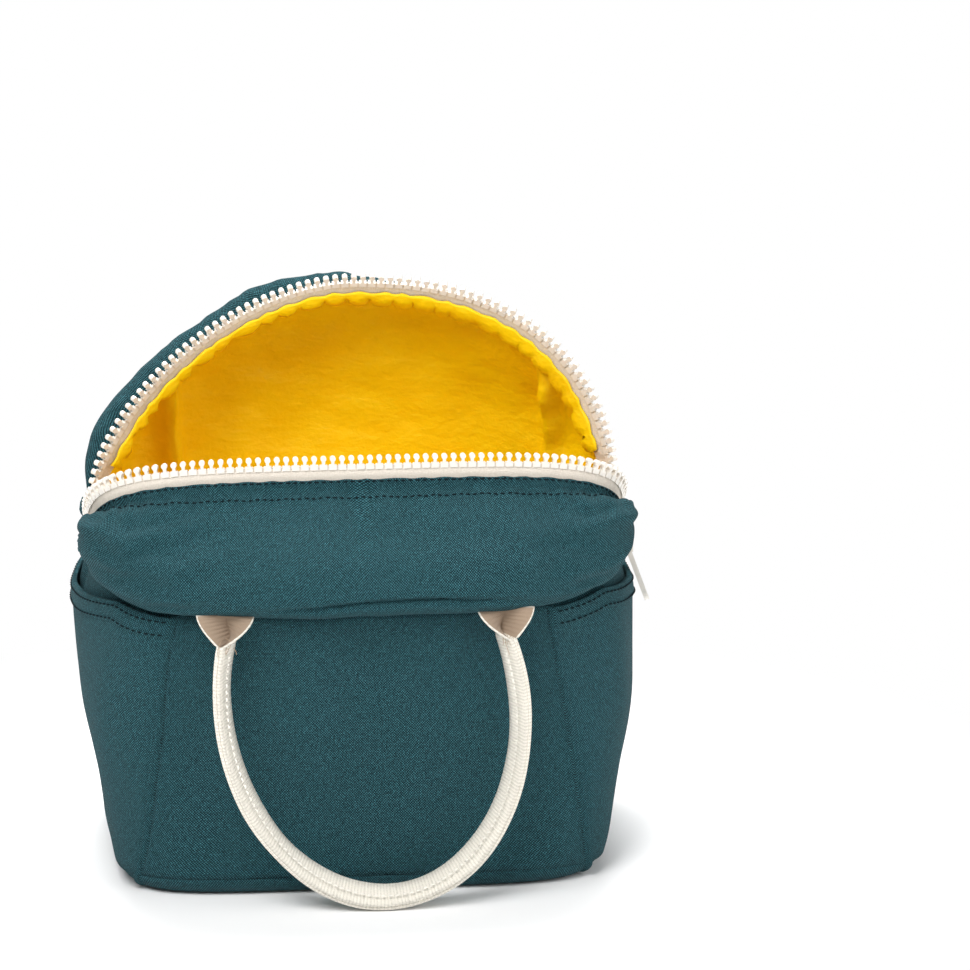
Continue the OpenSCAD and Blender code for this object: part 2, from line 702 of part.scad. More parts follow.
module bottle_pocket_hem() {
    color(lining_colour)
        bottle_cloth(lining_t + elastic_t + 2 * fit, lining_t, -hem_h, 0);
}
module pocket_elastic() {
    color("white")
        bottle_cloth(lining_t + fit, elastic_t, -elastic_w - elastic_t, -elastic_t);
}
module front_yoke() { color(canvas_colour) yoke(-1, 0, canvas_t); }
module back_yoke() { color(canvas_colour) yoke(1, 0, canvas_t); }
module front_yoke_lining() { color(lining_colour) yoke(-1, canvas_t, lining_t, tape_room); }
module back_yoke_lining() { color(lining_colour) yoke(1, canvas_t, lining_t, tape_room); }
module front_zip_tape() { color(tape_colour) rim_tape(-1); }
module front_zip_teeth() { color(zip_colour) rim_teeth(-1); }
module back_zip_tape() { color(tape_colour) rim_tape(1); }
module back_zip_teeth() { color(zip_colour) rim_teeth(1); }
module joined_zip_tape() { color(tape_colour) { joined_tape(-1); joined_tape(1); } }
module joined_zip_teeth() { color(zip_colour) joined_teeth(); }
module bottom_stop() {
    color(zip_colour)
        translate([zip_half - tooth_t / 2, 0, 0])
            end_stop(joined_gap, stop_z);
}
module zip_slider() { color(metal_colour) translate([zip_half, 0, 0]) { slider_body(); bail(); } }
module pull_tab() { color(metal_colour) pull(); }
module front_handle() { color(webbing_colour) handle(-1); }
module back_handle() { color(webbing_colour) handle(1); }

base_panel();
front_panel();
back_panel();
left_side_panel();
right_side_panel();
left_side_pocket();
right_side_pocket();
left_pocket_hem();
right_pocket_hem();
lining_base();
lining_front();
lining_back();
lining_left();
lining_right();
bottle_pocket();
bottle_pocket_hem();
pocket_elastic();
front_yoke();
back_yoke();
front_yoke_lining();
back_yoke_lining();
front_zip_tape();
front_zip_teeth();
back_zip_tape();
back_zip_teeth();
joined_zip_tape();
joined_zip_teeth();
bottom_stop();
zip_slider();
pull_tab();
front_handle();
back_handle();
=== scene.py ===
"""Cloth, lining, webbing, stitching and stage for a zip-top canvas lunch bag, built on its CAD frame."""

import math

import bpy
import numpy as np
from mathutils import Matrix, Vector, noise


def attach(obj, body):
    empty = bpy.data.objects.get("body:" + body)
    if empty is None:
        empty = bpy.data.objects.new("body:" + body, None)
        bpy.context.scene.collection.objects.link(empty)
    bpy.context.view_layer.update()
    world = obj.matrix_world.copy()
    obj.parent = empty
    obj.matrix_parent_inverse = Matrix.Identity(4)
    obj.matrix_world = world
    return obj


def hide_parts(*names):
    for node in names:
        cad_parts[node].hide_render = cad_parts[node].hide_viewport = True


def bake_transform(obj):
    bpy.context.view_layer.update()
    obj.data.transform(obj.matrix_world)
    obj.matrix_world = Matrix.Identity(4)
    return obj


bl_info = {
    "name": "Lunch Bag Surfacing",
    "version": (1, 0, 0),
    "blender": (4, 5, 0),
    "location": "View3D > Sidebar > Lunch Bag",
    "description": "Builds the cloth, stitching and stage of a zip-top lunch bag on its CAD frame",
    "category": "Object",
}

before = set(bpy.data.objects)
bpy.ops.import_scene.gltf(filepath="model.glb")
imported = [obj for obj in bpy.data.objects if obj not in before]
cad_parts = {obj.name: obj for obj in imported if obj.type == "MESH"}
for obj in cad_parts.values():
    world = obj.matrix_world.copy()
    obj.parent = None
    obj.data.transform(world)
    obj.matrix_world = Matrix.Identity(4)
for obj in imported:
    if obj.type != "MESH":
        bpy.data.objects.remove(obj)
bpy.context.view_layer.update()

# The bag's form, in millimetres. It follows the CAD model, but the corner seams stand further out
# at their feet, the pockets lie closer and rise more at the front, and the straps start higher.

MM = 0.001
BASE_W, BASE_D, BODY_W = 210.0, 146.0, 232.0
FRONT_LEAN, BACK_LEAN, FLARE_H = 11.0, 4.0, 34.0
SEAM_Z, SIDE_RISE, BASE_R = 131.0, 15.0, 8.0
SEAM_X_BASE, SEAM_X_TOP = 100.0, 80.0
BASE_SQUARE, TOP_SQUARE = 6.0, 3.1
FOLD_IN, FOLD_FOOT = 8.0, 92.0
CANVAS_T, LINING_T, FIT = 1.4, 0.8, 0.3
POCKET_Z, POCKET_RISE, POCKET_RISE_FRONT, POCKET_GAP, HEM_H, HEM_T = 123.0, 6.0, 14.0, 1.2, 9.0, 0.8
TAPE_W, TAPE_T, TAPE_SHOW, TAPE_TAIL, TAPE_LAP = 8.5, 1.0, 4.6, 1.5, 1.0
TOOTH_H, TOOTH_FIT, FOOT_UP = 4.2, 0.1, 0.4
SLIDER_TRAVEL, SLIDER_L = 4.0, 13.0
WEBBING_W, WEBBING_T = 25.0, 1.8
HANDLE_HALF, LOOP_HALF, LOOP_DROP, LOOP_SKEW, PINCH_L = 60.0, 64.0, 124.0, 8.0, 12.0
BOTTLE_W, BOTTLE_Z, ELASTIC_W, ELASTIC_T, GATHER = 78.0, 158.0, 6.0, 1.2, 10.0
FRONT_ROOT, BACK_ROOT = -20.0, 38.0
BOTTLE_DIP, FRONT_LEAD, BACK_LEAD, T_PROBE = 4, 12, 14, 0.01
RIM = {
    -1: {"rise": 72.0, "tilt": 51.0, "square": (4.5, 4.5), "roll": 60.0},
    1: {"rise": 106.0, "tilt": 14.0, "square": (1.72, 2.35), "roll": 40.0},
}
FOLD = {
    -1: {"out": 31.0, "up": -5.0, "brim_in": 22.0, "brim_out": (17.0, 17.0), "full": 0.7},
    1: {"out": 9.0, "up": 66.0, "brim_in": 2.0, "brim_out": (32.0, 14.0), "full": 0.9},
}
ROLL_RUN, CLOTH_END, BRIM_TURN = 0.12, 0.022, 0.4
LAYERS = (0, CANVAS_T, CANVAS_T + LINING_T)
HANDLE_TOP, SEWN_FOLD, OPEN_FOLD = SEAM_Z + 3.0, 0.12, 0.97
SWELL_BROAD, SWELL_CREASES, SWELL_SIDES = 3.0, 1.5, 3.6
SEAM_SPAN = 24  # steps of a yoke's seam: 6 on the left side, 12 along the face, 6 on the right
SIDE_SPAN = 6
TAPE_ROW, EDGE_ROWS = 0.86, 4  # share of a yoke's height where its cloth meets the tape
FRONT_TAPE_EXTRA, FRONT_END_RISE, FRONT_FULL = 1.4, 30.0, 1.1
SIDE_SEAMS, SIDE_SEAM_DEPTH, LINING_SLACK = (0.275, 0.80), 9.0, 2.2
RIM_STITCHES = (0.975, 0.82)
ELASTIC_RUFFLES = ((1.3, 15, 0.0), (0.8, 24, 1.2))
FLOOR_PATCH = (0.34, 0.30)


def lerp(a, b, k):
    return a + (b - a) * k


def ease(k):
    c = np.clip(k, 0.0, 1.0)
    return c * c * (3 - 2 * c)


def unit(v):
    v = np.asarray(v, float)
    return v / np.maximum(np.linalg.norm(v, axis=-1, keepdims=True), 1e-9)


def run_along(line):
    """Distance from a line's first point to each of its points."""
    return np.concatenate([[0], np.cumsum(np.linalg.norm(np.diff(line, axis=0), axis=1))])


def points_at(at, run, line):
    """Points of a line at distances along it."""
    return np.stack([np.interp(at, run, line[:, i]) for i in range(3)], -1)


def half_w(z):
    return BODY_W / 2 - (BODY_W - BASE_W) / 2 * np.exp(-z / FLARE_H)


def half_d(z, side):
    lean = np.where(np.asarray(side) < 0, FRONT_LEAN, BACK_LEAN)
    return BASE_D / 2 + lean * np.minimum(1, z / SEAM_Z) ** 2


def square_at(z):
    return lerp(BASE_SQUARE, TOP_SQUARE, np.minimum(1, z / SEAM_Z))


def edge_inset(z):
    low = np.clip(BASE_R - z, 0, BASE_R)
    return BASE_R - np.sqrt(BASE_R**2 - low**2)


def oval_r(f, a, b, n):
    c, s = np.abs(np.cos(np.radians(f))), np.abs(np.sin(np.radians(f)))
    return 1 / ((c / a) ** n + (s / b) ** n) ** (1 / n)


def field(x, y, z, size, seed):
    """Smooth noise from -1 to 1 at points in millimetres, with features of about that size."""
    flat = np.stack(np.broadcast_arrays(x, y, z), -1).reshape(-1, 3) / size
    out = [noise.noise(Vector((p[0] + seed, p[1], p[2]))) for p in flat]
    return np.array(out).reshape(np.broadcast(x, y, z).shape)


def swell(f, z):
    """How far the slumped cloth stands out of the plain outline, in every layer alike."""
    c, s = np.cos(np.radians(f)), np.sin(np.radians(f))
    low = ease(z / 22) * ease((SEAM_Z + 12 - z) / 26)
    broad = SWELL_BROAD * field(110 * c, 80 * s, z * 0.6, 46.0, 3.1)
    creases = SWELL_CREASES * field(110 * c, 80 * s, z * 0.35, 17.0, 9.7)
    full = SWELL_SIDES * np.abs(c) ** 4 * ease((z - 20) / 60)
    return low * (broad + creases + full)


def wall(f, z, inset, soft=True):
    """Points of the bag's outline at angles f and heights z, moved in by inset."""
    f, z, inset = np.broadcast_arrays(np.asarray(f, float), np.asarray(z, float), np.asarray(inset, float))
    side = np.where(np.sin(np.radians(f)) < 0, -1, 1)
    inner = inset + edge_inset(z) - (swell(f, z) if soft else 0)
    r = oval_r(f, half_w(z) - inner, half_d(z, side) - inner, square_at(z))
    return np.stack([r * np.cos(np.radians(f)), r * np.sin(np.radians(f)), z], -1)


def seam_x(z):
    return lerp(SEAM_X_BASE, SEAM_X_TOP, np.minimum(1, z / SEAM_Z))


def seam_angle(z, side):
    n = square_at(z)
    y = half_d(z, side) * (1 - (seam_x(z) / half_w(z)) ** n) ** (1 / n)
    return np.degrees(np.arctan2(y, seam_x(z)))


def face_angle(z, side, share):
    s = seam_angle(z, side)
    return side * lerp(180 - s, s, share)


def side_top(share):
    return SEAM_Z + SIDE_RISE * np.cos(np.radians(90 * share)) ** 2


def side_angle(z, share):
    return share * seam_angle(np.minimum(z, SEAM_Z), np.where(np.asarray(share) < 0, -1, 1))


def fold_at(share, z):
    """The cloth behind the zip's end folds inwards, most of all in the middle of the side."""
    return FOLD_IN * np.maximum(0, 1 - np.abs(share) * 6) * ease((z - FOLD_FOOT) / (SEAM_Z - FOLD_FOOT))


def side_wall(hand, share, z, inset):
    f = side_angle(z, share)
    f = f if hand > 0 else 180 - f
    return wall(f, z, inset + fold_at(share, z))


def pocket_top(share):
    rise = np.where(share < 0, POCKET_RISE_FRONT * np.abs(share), POCKET_RISE * share**2)
    return np.minimum(POCKET_Z + rise, side_top(share) - 1.5)


def pocket_room(share, z):
    edge = np.maximum(np.cos(np.radians(90 * share)), 0) ** 0.75
    return POCKET_GAP * edge * ease(1.6 * (z - BASE_R) / (POCKET_Z - BASE_R))


ZIP_END_Z = SEAM_Z + SIDE_RISE
ZIP_HALF = float(half_w(ZIP_END_Z)) + TAPE_T / 2
RIM_HALF = ZIP_HALF + 2 * FIT
JOINED_GAP = (TOOTH_H + FOOT_UP + TOOTH_FIT) / 2
SLIDER_Z = ZIP_END_Z - SLIDER_TRAVEL - SLIDER_L - FIT
JOINED_TOP = SLIDER_Z + SLIDER_L * 0.4
END_GAP = JOINED_GAP + 0.15 * (ZIP_END_Z - JOINED_TOP)


class Rim:
    """One row of teeth: where it runs and which way its teeth and tape face."""

    def __init__(self, side):
        self.side, spec = side, RIM[side]
        tilt = math.radians(spec["tilt"])
        self.up = np.array([0, side * math.sin(tilt), math.cos(tilt)])
        self.over = np.array([0, -side * math.cos(tilt), math.sin(tilt)])
        f = np.linspace(0, 180, 225)
        r = oval_r(f, RIM_HALF, spec["rise"], np.where(f < 90, *spec["square"]))
        level = [np.full_like(f, side * END_GAP), np.full_like(f, ZIP_END_Z)]
        start = np.stack([-r * np.cos(np.radians(f)), *level], -1)
        self.line = start + (r * np.sin(np.radians(f)))[:, None] * self.up
        self.run = run_along(self.line)
        self.length, self.roll = self.run[-1], spec["roll"]

    def at(self, d):
        return points_at(np.clip(d, 0, self.length), self.run, self.line)

    def frames(self, u):
        """Place, along, teeth and face directions at shares u of the row's length."""
        u = np.asarray(u, float)
        d = u * self.length
        along = unit(self.at(d + 0.5) - self.at(d - 0.5))
        roll = np.radians(lerp(90, self.roll, ease(np.minimum(u, 1 - u) / ROLL_RUN)))[:, None]
        outward = self.side * unit(np.cross(np.broadcast_to(self.over, along.shape), along))
        teeth = np.cos(roll) * outward + np.sin(roll) * self.over
        return self.at(d), along, teeth, np.cross(along, teeth)


RIMS = {side: Rim(side) for side in (-1, 1)}


def seam_points(side, j, inset):
    """The seam under a yoke, from the left end of the zip (0) to its right end (SEAM_SPAN)."""
    j = np.asarray(j, float)
    first, last = j <= SIDE_SPAN, j >= SEAM_SPAN - SIDE_SPAN
    q = np.where(first, j, SEAM_SPAN - j) / SIDE_SPAN
    share = side * np.minimum(q, 1)
    z = side_top(share)
    left = side_wall(-1, share, z, inset)
    right = side_wall(1, share, z, inset)
    across = np.clip((j - SIDE_SPAN) / (SEAM_SPAN - 2 * SIDE_SPAN), 0, 1)
    mid = wall(face_angle(SEAM_Z, side, across), np.full_like(j, SEAM_Z), inset)
    return np.where(first[:, None], left, np.where(last[:, None], right, mid))


def bezier(a, b, c, d, t):
    s = 1 - t
    return s**3 * a + 3 * s * s * t * b + 3 * s * t * t * c + t**3 * d


def grid_normals(p):
    """Unit normals of a grid of points, across its columns and rows."""
    return unit(np.cross(np.gradient(p, axis=0), np.gradient(p, axis=1)))


def yoke_surface(side, cols, rows, style):
    """A yoke's outer cloth, as a grid of columns from seam to tape, with its inward directions."""
    seam = seam_points(side, np.linspace(0, SEAM_SPAN, cols), 0)
    run = run_along(seam)
    u = run / run[-1]
    place, _, teeth, face = RIMS[side].frames(np.clip(u, CLOTH_END, 1 - CLOTH_END))
    flat = -side * (TAPE_T / 2 + TAPE_LAP + CANVAS_T)
    low = place - (TAPE_W + TAPE_TAIL) * teeth + flat * face
    high = place - (TAPE_SHOW + (FRONT_TAPE_EXTRA if side < 0 else 0.0)) * teeth + flat * face
    d = np.gradient(seam, axis=0)
    out = side * unit(np.stack([-d[:, 1], d[:, 0], np.zeros(cols)], -1))
    rise = np.array([0, 0, 1.0])
    fold, lift, puff = FOLD[side], 0.0, 0.0
    w = (np.maximum(np.sin(np.pi * u), 0) ** fold["full"])[:, None]
    brim = lerp(*fold["brim_out"], ease((u - BRIM_TURN) / BRIM_TURN))[:, None]
    ends = np.minimum(u, 1 - u)[:, None]
    if side > 0:
        puff = style.puff * (ease(u / 0.14) * ease((0.74 - u) / 0.34))[:, None]
        fold_w, brim_w = w, w * ease(ends / 0.12)
    else:
        lift = style.lift
        fold_w, brim_w = np.sin(np.pi * u)[:, None] ** FRONT_FULL, ease(ends / 0.17)
        brim = brim + (style.end_swell - 2.0 * u[:, None]) * ease((0.30 - ends) / 0.2)
    b = seam + fold_w * (fold["out"] * out + (fold["up"] + lift) * rise)
    c = low - w * (fold["brim_in"] - puff) * teeth + brim_w * brim * out
    if side < 0:
        c = c + FRONT_END_RISE * ease((0.27 - ends) / 0.2) * ease(ends / 0.13) * rise
    t = np.linspace(0, 1, rows - EDGE_ROWS)
    body = bezier(seam[:, None], b[:, None], c[:, None], low[:, None], t[None, :, None])
    steps = np.arange(1, EDGE_ROWS + 1) / EDGE_ROWS
    edge = low[:, None] + (high - low)[:, None] * steps[None, :, None]
    grid = np.concatenate([body, edge], 1)
    v = np.concatenate([t * TAPE_ROW, TAPE_ROW + (1 - TAPE_ROW) * steps])
    return grid, side * grid_normals(grid), u, v


# Mesh building


def new_mesh(name, verts, faces, uvs=None):
    """A mesh object from points in millimetres; uvs holds one (u, v) a vertex, also in millimetres."""
    mesh = bpy.data.meshes.new(name)
    points = [tuple(float(c) * MM for c in p) for p in verts]
    mesh.from_pydata(points, [], [tuple(int(i) for i in f) for f in faces])
    mesh.update()
    if uvs is not None:
        layer = mesh.uv_layers.new(name="cloth")
        index = np.zeros(len(mesh.loops), np.int64)
        mesh.loops.foreach_get("vertex_index", index)
        layer.data.foreach_set("uv", np.asarray(uvs, np.float32)[index].ravel())
    mesh.polygons.foreach_set("use_smooth", [True] * len(mesh.polygons))
    obj = bpy.data.objects.new(name, mesh)
    bpy.context.scene.collection.objects.link(obj)
    return obj


def lengths(points, axis):
    d = np.linalg.norm(np.diff(points, axis=axis), axis=-1)
    pad = [(0, 0), (0, 0)]
    pad[axis] = (1, 0)
    return np.cumsum(np.pad(d, pad), axis=axis)


def grid_uv(points):
    """Lengths along and up a grid of points, so that a weave keeps its scale."""
    mid = points.shape[1] // 2
    along = lengths(points, 0)[:, mid : mid + 1]
    up = lengths(points, 1)
    return np.stack([np.broadcast_to(along, points.shape[:2]), up], -1).reshape(-1, 2)


def shell(name, outer, inner, closed=False):
    """A sheet of cloth between two grids of points. A closed one joins its last column to its first."""
    cols, rows = outer.shape[:2]
    far = cols * rows
    spans = cols if closed else cols - 1
    faces = []
    for i in range(spans):
        a0, b0 = i * rows, ((i + 1) % cols) * rows
        for k in range(rows - 1):
            faces.append((a0 + k, b0 + k, b0 + k + 1, a0 + k + 1))
            faces.append((far + a0 + k, far + a0 + k + 1, far + b0 + k + 1, far + b0 + k))
        faces.append((a0, far + a0, far + b0, b0))
        t = rows - 1
        faces.append((a0 + t, b0 + t, far + b0 + t, far + a0 + t))
    if not closed:
        for k in range(rows - 1):
            faces.append((k, k + 1, far + k + 1, far + k))
            e = (cols - 1) * rows
            faces.append((e + k, far + e + k, far + e + k + 1, e + k + 1))
    i, k = cols // 2, rows // 2
    across, up = outer[i, k] - outer[i - 1, k], outer[i, k] - outer[i, k - 1]
    if np.dot(np.cross(across, up), outer[i, k] - inner[i, k]) < 0:
        faces = [f[::-1] for f in faces]
    uv = grid_uv(outer)
    verts = np.concatenate([outer.reshape(-1, 3), inner.reshape(-1, 3)])
    return new_mesh(name, verts, faces, np.concatenate([uv, uv]))


def smooth_edges(obj, width):
    """Rounds an object's sharp edges, so that they catch the light."""
    bevel = obj.modifiers.new("edges", "BEVEL")
    bevel.width, bevel.segments, bevel.limit_method = width * MM, 2, "ANGLE"
    bevel.angle_limit = math.radians(40)
    return obj


def ring_faces(rings, count):
    """Faces of a closed tube of rings, with its two ends."""
    faces = []
    for i in range(rings - 1):
        for k in range(count):
            m, a, b = (k + 1) % count, i * count, (i + 1) * count
            faces.append((a + k, a + m, b + m, b + k))
    faces.append(tuple(range(count))[::-1])
    faces.append(tuple((rings - 1) * count + k for k in range(count)))
    return faces


def tube(points, radius, sides=6):
    """Vertices and faces of a round thread along a line of points."""
    p = np.asarray(points, float)
    d = unit(np.gradient(p, axis=0))
    ref = np.where(np.abs(d[:, 2:3]) < 0.9, [[0.0, 0.0, 1.0]], [[1.0, 0.0, 0.0]])
    a = unit(np.cross(d, ref))
    b = np.cross(d, a)
    ang = np.linspace(0, 2 * np.pi, sides, endpoint=False)
    r = np.broadcast_to(np.asarray(radius, float), (len(p),))
    around = np.cos(ang)[None, :, None] * a[:, None] + np.sin(ang)[None, :, None] * b[:, None]
    ring = p[:, None] + r[:, None, None] * around
    return ring.reshape(-1, 3), ring_faces(len(p), sides)


def joined(name, parts):
    """One mesh object of many (vertices, faces) parts."""
    verts, faces, base = [], [], 0
    for v, f in parts:
        verts.append(v)
        faces += [tuple(base + i for i in face) for face in f]
        base += len(v)
    return new_mesh(name, np.concatenate(verts), faces)


def stitch_parts(line, normal, style):
    """Separate stitches along a line of points that lies on cloth with these normals."""
    line, normal = np.asarray(line, float), unit(normal)
    run = run_along(line)
    parts, d = [], 1.0
    profile = np.array([0.35, 0.9, 1.0, 0.9, 0.35]) * style.thread
    rise = (np.array([-0.5, 0.35, 0.6, 0.35, -0.5]) * style.thread)[:, None]
    while d + style.stitch < run[-1]:
        s = np.linspace(d, d + style.stitch, 5)
        p, n = points_at(s, run, line), points_at(s, run, normal)
        parts.append(tube(p + unit(n) * rise, profile))
        d += style.stitch + style.stitch_gap
    return parts


def grid_line(grid, normals, v, at):
    """A line along a grid's columns at row share at, with its normals."""
    return [np.array([points_at(at, v, column) for column in g]) for g in (grid, normals)]


# Materials


class Nodes:
    """Short hands for building a node tree."""

    def __init__(self, name):
        self.material = bpy.data.materials.new(name)
        self.material.use_nodes = True
        self.tree = self.material.node_tree
        self.tree.nodes.clear()
        self.out = self.tree.nodes.new("ShaderNodeOutputMaterial")
        self.bsdf = self.tree.nodes.new("ShaderNodeBsdfPrincipled")
        self.link(self.bsdf.outputs[0], self.out.inputs[0])

    def add(self, kind, **settings):
        node = self.tree.nodes.new(kind)
        for key, value in settings.items():
            setattr(node, key, value)
        return node

    def link(self, a, b):
        self.tree.links.new(a, b)

    def put(self, socket, value):
        if isinstance(value, bpy.types.NodeSocket):
            self.link(value, socket)
        else:
            socket.default_value = value

    def math(self, kind, *values):
        node = self.add("ShaderNodeMath", operation=kind)
        for socket, value in zip(node.inputs, values):
            self.put(socket, value)
        return node.outputs[0]

    def noise(self, vector, scale, detail=3.0, roughness=0.55):
        node = self.add("ShaderNodeTexNoise")
        self.put(node.inputs["Vector"], vector)
        node.inputs["Scale"].default_value = scale
        node.inputs["Detail"].default_value = detail
        node.inputs["Roughness"].default_value = roughness
        return node.outputs["Fac"]

    def axes(self, vector):
        node = self.add("ShaderNodeSeparateXYZ")
        self.link(vector, node.inputs[0])
        return node.outputs

    def waves(self, vector, *rates):
        """A sine along each of the vector's first axes."""
        return [self.math("SINE", self.math("MULTIPLY", a, k)) for a, k in zip(self.axes(vector), rates)]

    def scaled(self, vector, scale):
        node = self.add("ShaderNodeMapping")
        self.put(node.inputs["Vector"], vector)
        node.inputs["Scale"].default_value = scale
        return node.outputs[0]

    def ramp(self, value, stops):
        node = self.add("ShaderNodeValToRGB")
        self.put(node.inputs[0], value)
        elements = node.color_ramp.elements
        while len(elements) < len(stops):
            elements.new(0.5)
        for e, (at, colour) in zip(elements, stops):
            e.position, e.color = at, (*colour, 1.0)
        return node.outputs[0]

    def mix(self, factor, a, b, kind="MIX"):
        node = self.add("ShaderNodeMix", data_type="RGBA", blend_type=kind)
        self.put(node.inputs["Factor"], factor)
        ins = [s for s in node.inputs if s.type == "RGBA"]
        for socket, x in zip(ins, (a, b)):
            self.put(socket, (*x, 1.0) if isinstance(x, tuple) else x)
        return [s for s in node.outputs if s.type == "RGBA"][0]

    def bump(self, height, distance, strength=1.0, normal=None):
        node = self.add("ShaderNodeBump")
        node.inputs["Strength"].default_value = strength
        node.inputs["Distance"].default_value = distance
        self.put(node.inputs["Height"], height)
        if normal is not None:
            self.put(node.inputs["Normal"], normal)
        return node.outputs[0]

    def surface(self, colour, roughness, normal, **others):
        """Sets the shader's sockets, each to a value or from another node."""
        values = {"Base Color": colour, "Roughness": roughness, "Normal": normal}
        values.update({key.replace("_", " "): value for key, value in others.items()})
        for key, value in values.items():
            self.put(self.bsdf.inputs[key], value)
        return self.material

    def place(self):
        return self.add("ShaderNodeTexCoord").outputs["Object"]

    def cloth(self):
        node = self.add("ShaderNodeUVMap")
        node.uv_map = "cloth"
        return node.outputs[0]


def srgb(code):
    """Linear colour of a hex code."""
    parts = [int(code[i : i + 2], 16) / 255 for i in (0, 2, 4)]
    return tuple(c / 12.92 if c <= 0.04045 else ((c + 0.055) / 1.055) ** 2.4 for c in parts)


def weave_height(n, vector, pitch_u, pitch_v):
    """Plain weave: the crossings of two sets of yarns, over and under by turns."""
    return n.math("MULTIPLY", *n.waves(vector, math.pi / pitch_u, math.pi / pitch_v))


def canvas_material(colours):
    n = Nodes("canvas")
    uv = n.cloth()
    drift = n.add("ShaderNodeVectorMath", operation="ADD")
    wobble = n.add("ShaderNodeTexNoise")
    amount = n.add("ShaderNodeVectorMath", operation="SCALE")
    for socket, value in (
        (wobble.inputs["Vector"], uv),
        (wobble.inputs["Scale"], 0.35),
        (wobble.inputs["Detail"], 2.0),
        (amount.inputs[0], wobble.outputs["Color"]),
        (amount.inputs["Scale"], 0.5),
        (drift.inputs[0], uv),
        (drift.inputs[1], amount.outputs[0]),
    ):
        n.put(socket, value)
    weave = weave_height(n, drift.outputs[0], 0.55, 0.62)
    warp = n.noise(n.scaled(uv, (1.7, 0.22, 1.0)), 1.0, 3.0)
    weft = n.noise(n.scaled(uv, (0.2, 1.5, 1.0)), 1.0, 3.0)
    # Painted shade and highlight: the weave's height also lightens the colour, so the yarn tops carry a
    # painted highlight and the gaps between the yarns carry painted shade, over the real warp and weft tones
    # and random specks
    over = n.math("MULTIPLY_ADD", weave, 0.5, 0.5)
    yarn = n.math("ADD", n.math("MULTIPLY", over, n.math("SUBTRACT", warp, weft)), weft)
    tone = n.math("MULTIPLY_ADD", over, 0.62, n.math("MULTIPLY", yarn, 0.50))
    speck = n.noise(uv, 0.95, 3.0, 0.75)
    tone = n.math("ADD", tone, n.math("MULTIPLY_ADD", speck, 0.62, -0.36))
    dark, base, light = srgb(colours.canvas_dark_and_gap_shade), srgb(colours.canvas), srgb(colours.canvas_light_and_top_highlight)
    colour = n.ramp(tone, [(0.20, dark), (0.52, base), (0.88, light)])
    wear = n.noise(n.place(), 24.0, 4.0)
    worn = n.mix(1.0, colour, (0.74, 0.74, 0.74), "MULTIPLY")
    colour = n.mix(n.math("MULTIPLY", wear, 0.35), colour, worn)
    fine = n.bump(n.math("ADD", weave, n.math("MULTIPLY", speck, 0.8)), 0.0003, 0.9)
    normal = n.bump(n.noise(n.place(), 130.0, 3.0), 0.0008, 0.5, fine)
    return n.surface(colour, 0.9, normal, Sheen_Weight=0.03, Sheen_Roughness=0.6, Specular_IOR_Level=0.12)


def lining_material(colours):
    n = Nodes("lining")
    place = n.place()
    broad = n.noise(place, 26.0, 3.0)
    colour = n.mix(broad, srgb(colours.lining), srgb(colours.lining_deep))
    fine = n.bump(weave_height(n, n.cloth(), 0.3, 0.3), 0.00005, 0.5)
    crinkle = n.noise(n.scaled(place, (1.0, 1.0, 1.6)), 46.0, 5.0, 0.6)
    return n.surface(colour, 0.46, n.bump(crinkle, 0.004, 0.55, fine), Specular_IOR_Level=0.4)


def tape_material(colours, name="zip_tape"):
    n = Nodes(name)
    place = n.place()
    band = n.noise(place, 1500.0, 2.0)
    soil = n.noise(place, 60.0, 4.0)
    colour = n.mix(band, srgb(colours.tape), srgb(colours.tape_shade))
    colour = n.mix(n.math("MULTIPLY", soil, 0.4), colour, srgb(colours.tape_shade))
    return n.surface(colour, 0.85, n.bump(band, 0.0002, 0.7))


def teeth_material(colours):
    n = Nodes("zip_teeth")
    place = n.place()
    soft = n.noise(place, 900.0, 2.0)
    shade = n.noise(place, 45.0, 3.0)
    colour = n.mix(n.math("MULTIPLY", shade, 0.5), srgb(colours.teeth), srgb(colours.tape))
    rough = n.math("MULTIPLY_ADD", soft, 0.2, 0.28)
    depth = (MM, MM, MM)
    return n.surface(
        colour, rough, n.bump(soft, 0.00005, 0.5), Subsurface_Weight=0.15, Subsurface_Radius=depth)


def metal_material(colours, name, inner):
    """Cream enamel over grey-green metal, showing the metal where it rubs; with inner set, faces turned
    towards -x get the dark metal colour as painted shade on the pull's inner side.
    """
    n = Nodes(name)
    place = n.place()
    chips = n.noise(place, 420.0, 4.0, 0.7)
    # Painted shade: faces whose normals point towards -x, the pull's side towards the bag, get the dark
    # metal colour and some metallic, standing in for the shade on that side
    inner_face_shade = n.axes(n.add("ShaderNodeNewGeometry").outputs["Normal"])[0]
    inner_face_shade = n.math("GREATER_THAN", n.math("MULTIPLY", inner_face_shade, -1.0), 0.75)
    worn = n.math("GREATER_THAN", chips, 0.72)
    bare_wear_and_shade = n.math("MAXIMUM", inner_face_shade, worn) if inner else worn
    colour = n.mix(bare_wear_and_shade, srgb(colours.metal), srgb(colours.metal_bare_and_shade))
    rough = n.math("MULTIPLY_ADD", chips, 0.25, 0.26)
    normal = n.bump(n.noise(place, 700.0, 2.0), 0.00006, 0.6)
    return n.surface(colour, rough, normal, Metallic=n.math("MULTIPLY", bare_wear_and_shade, 0.8))


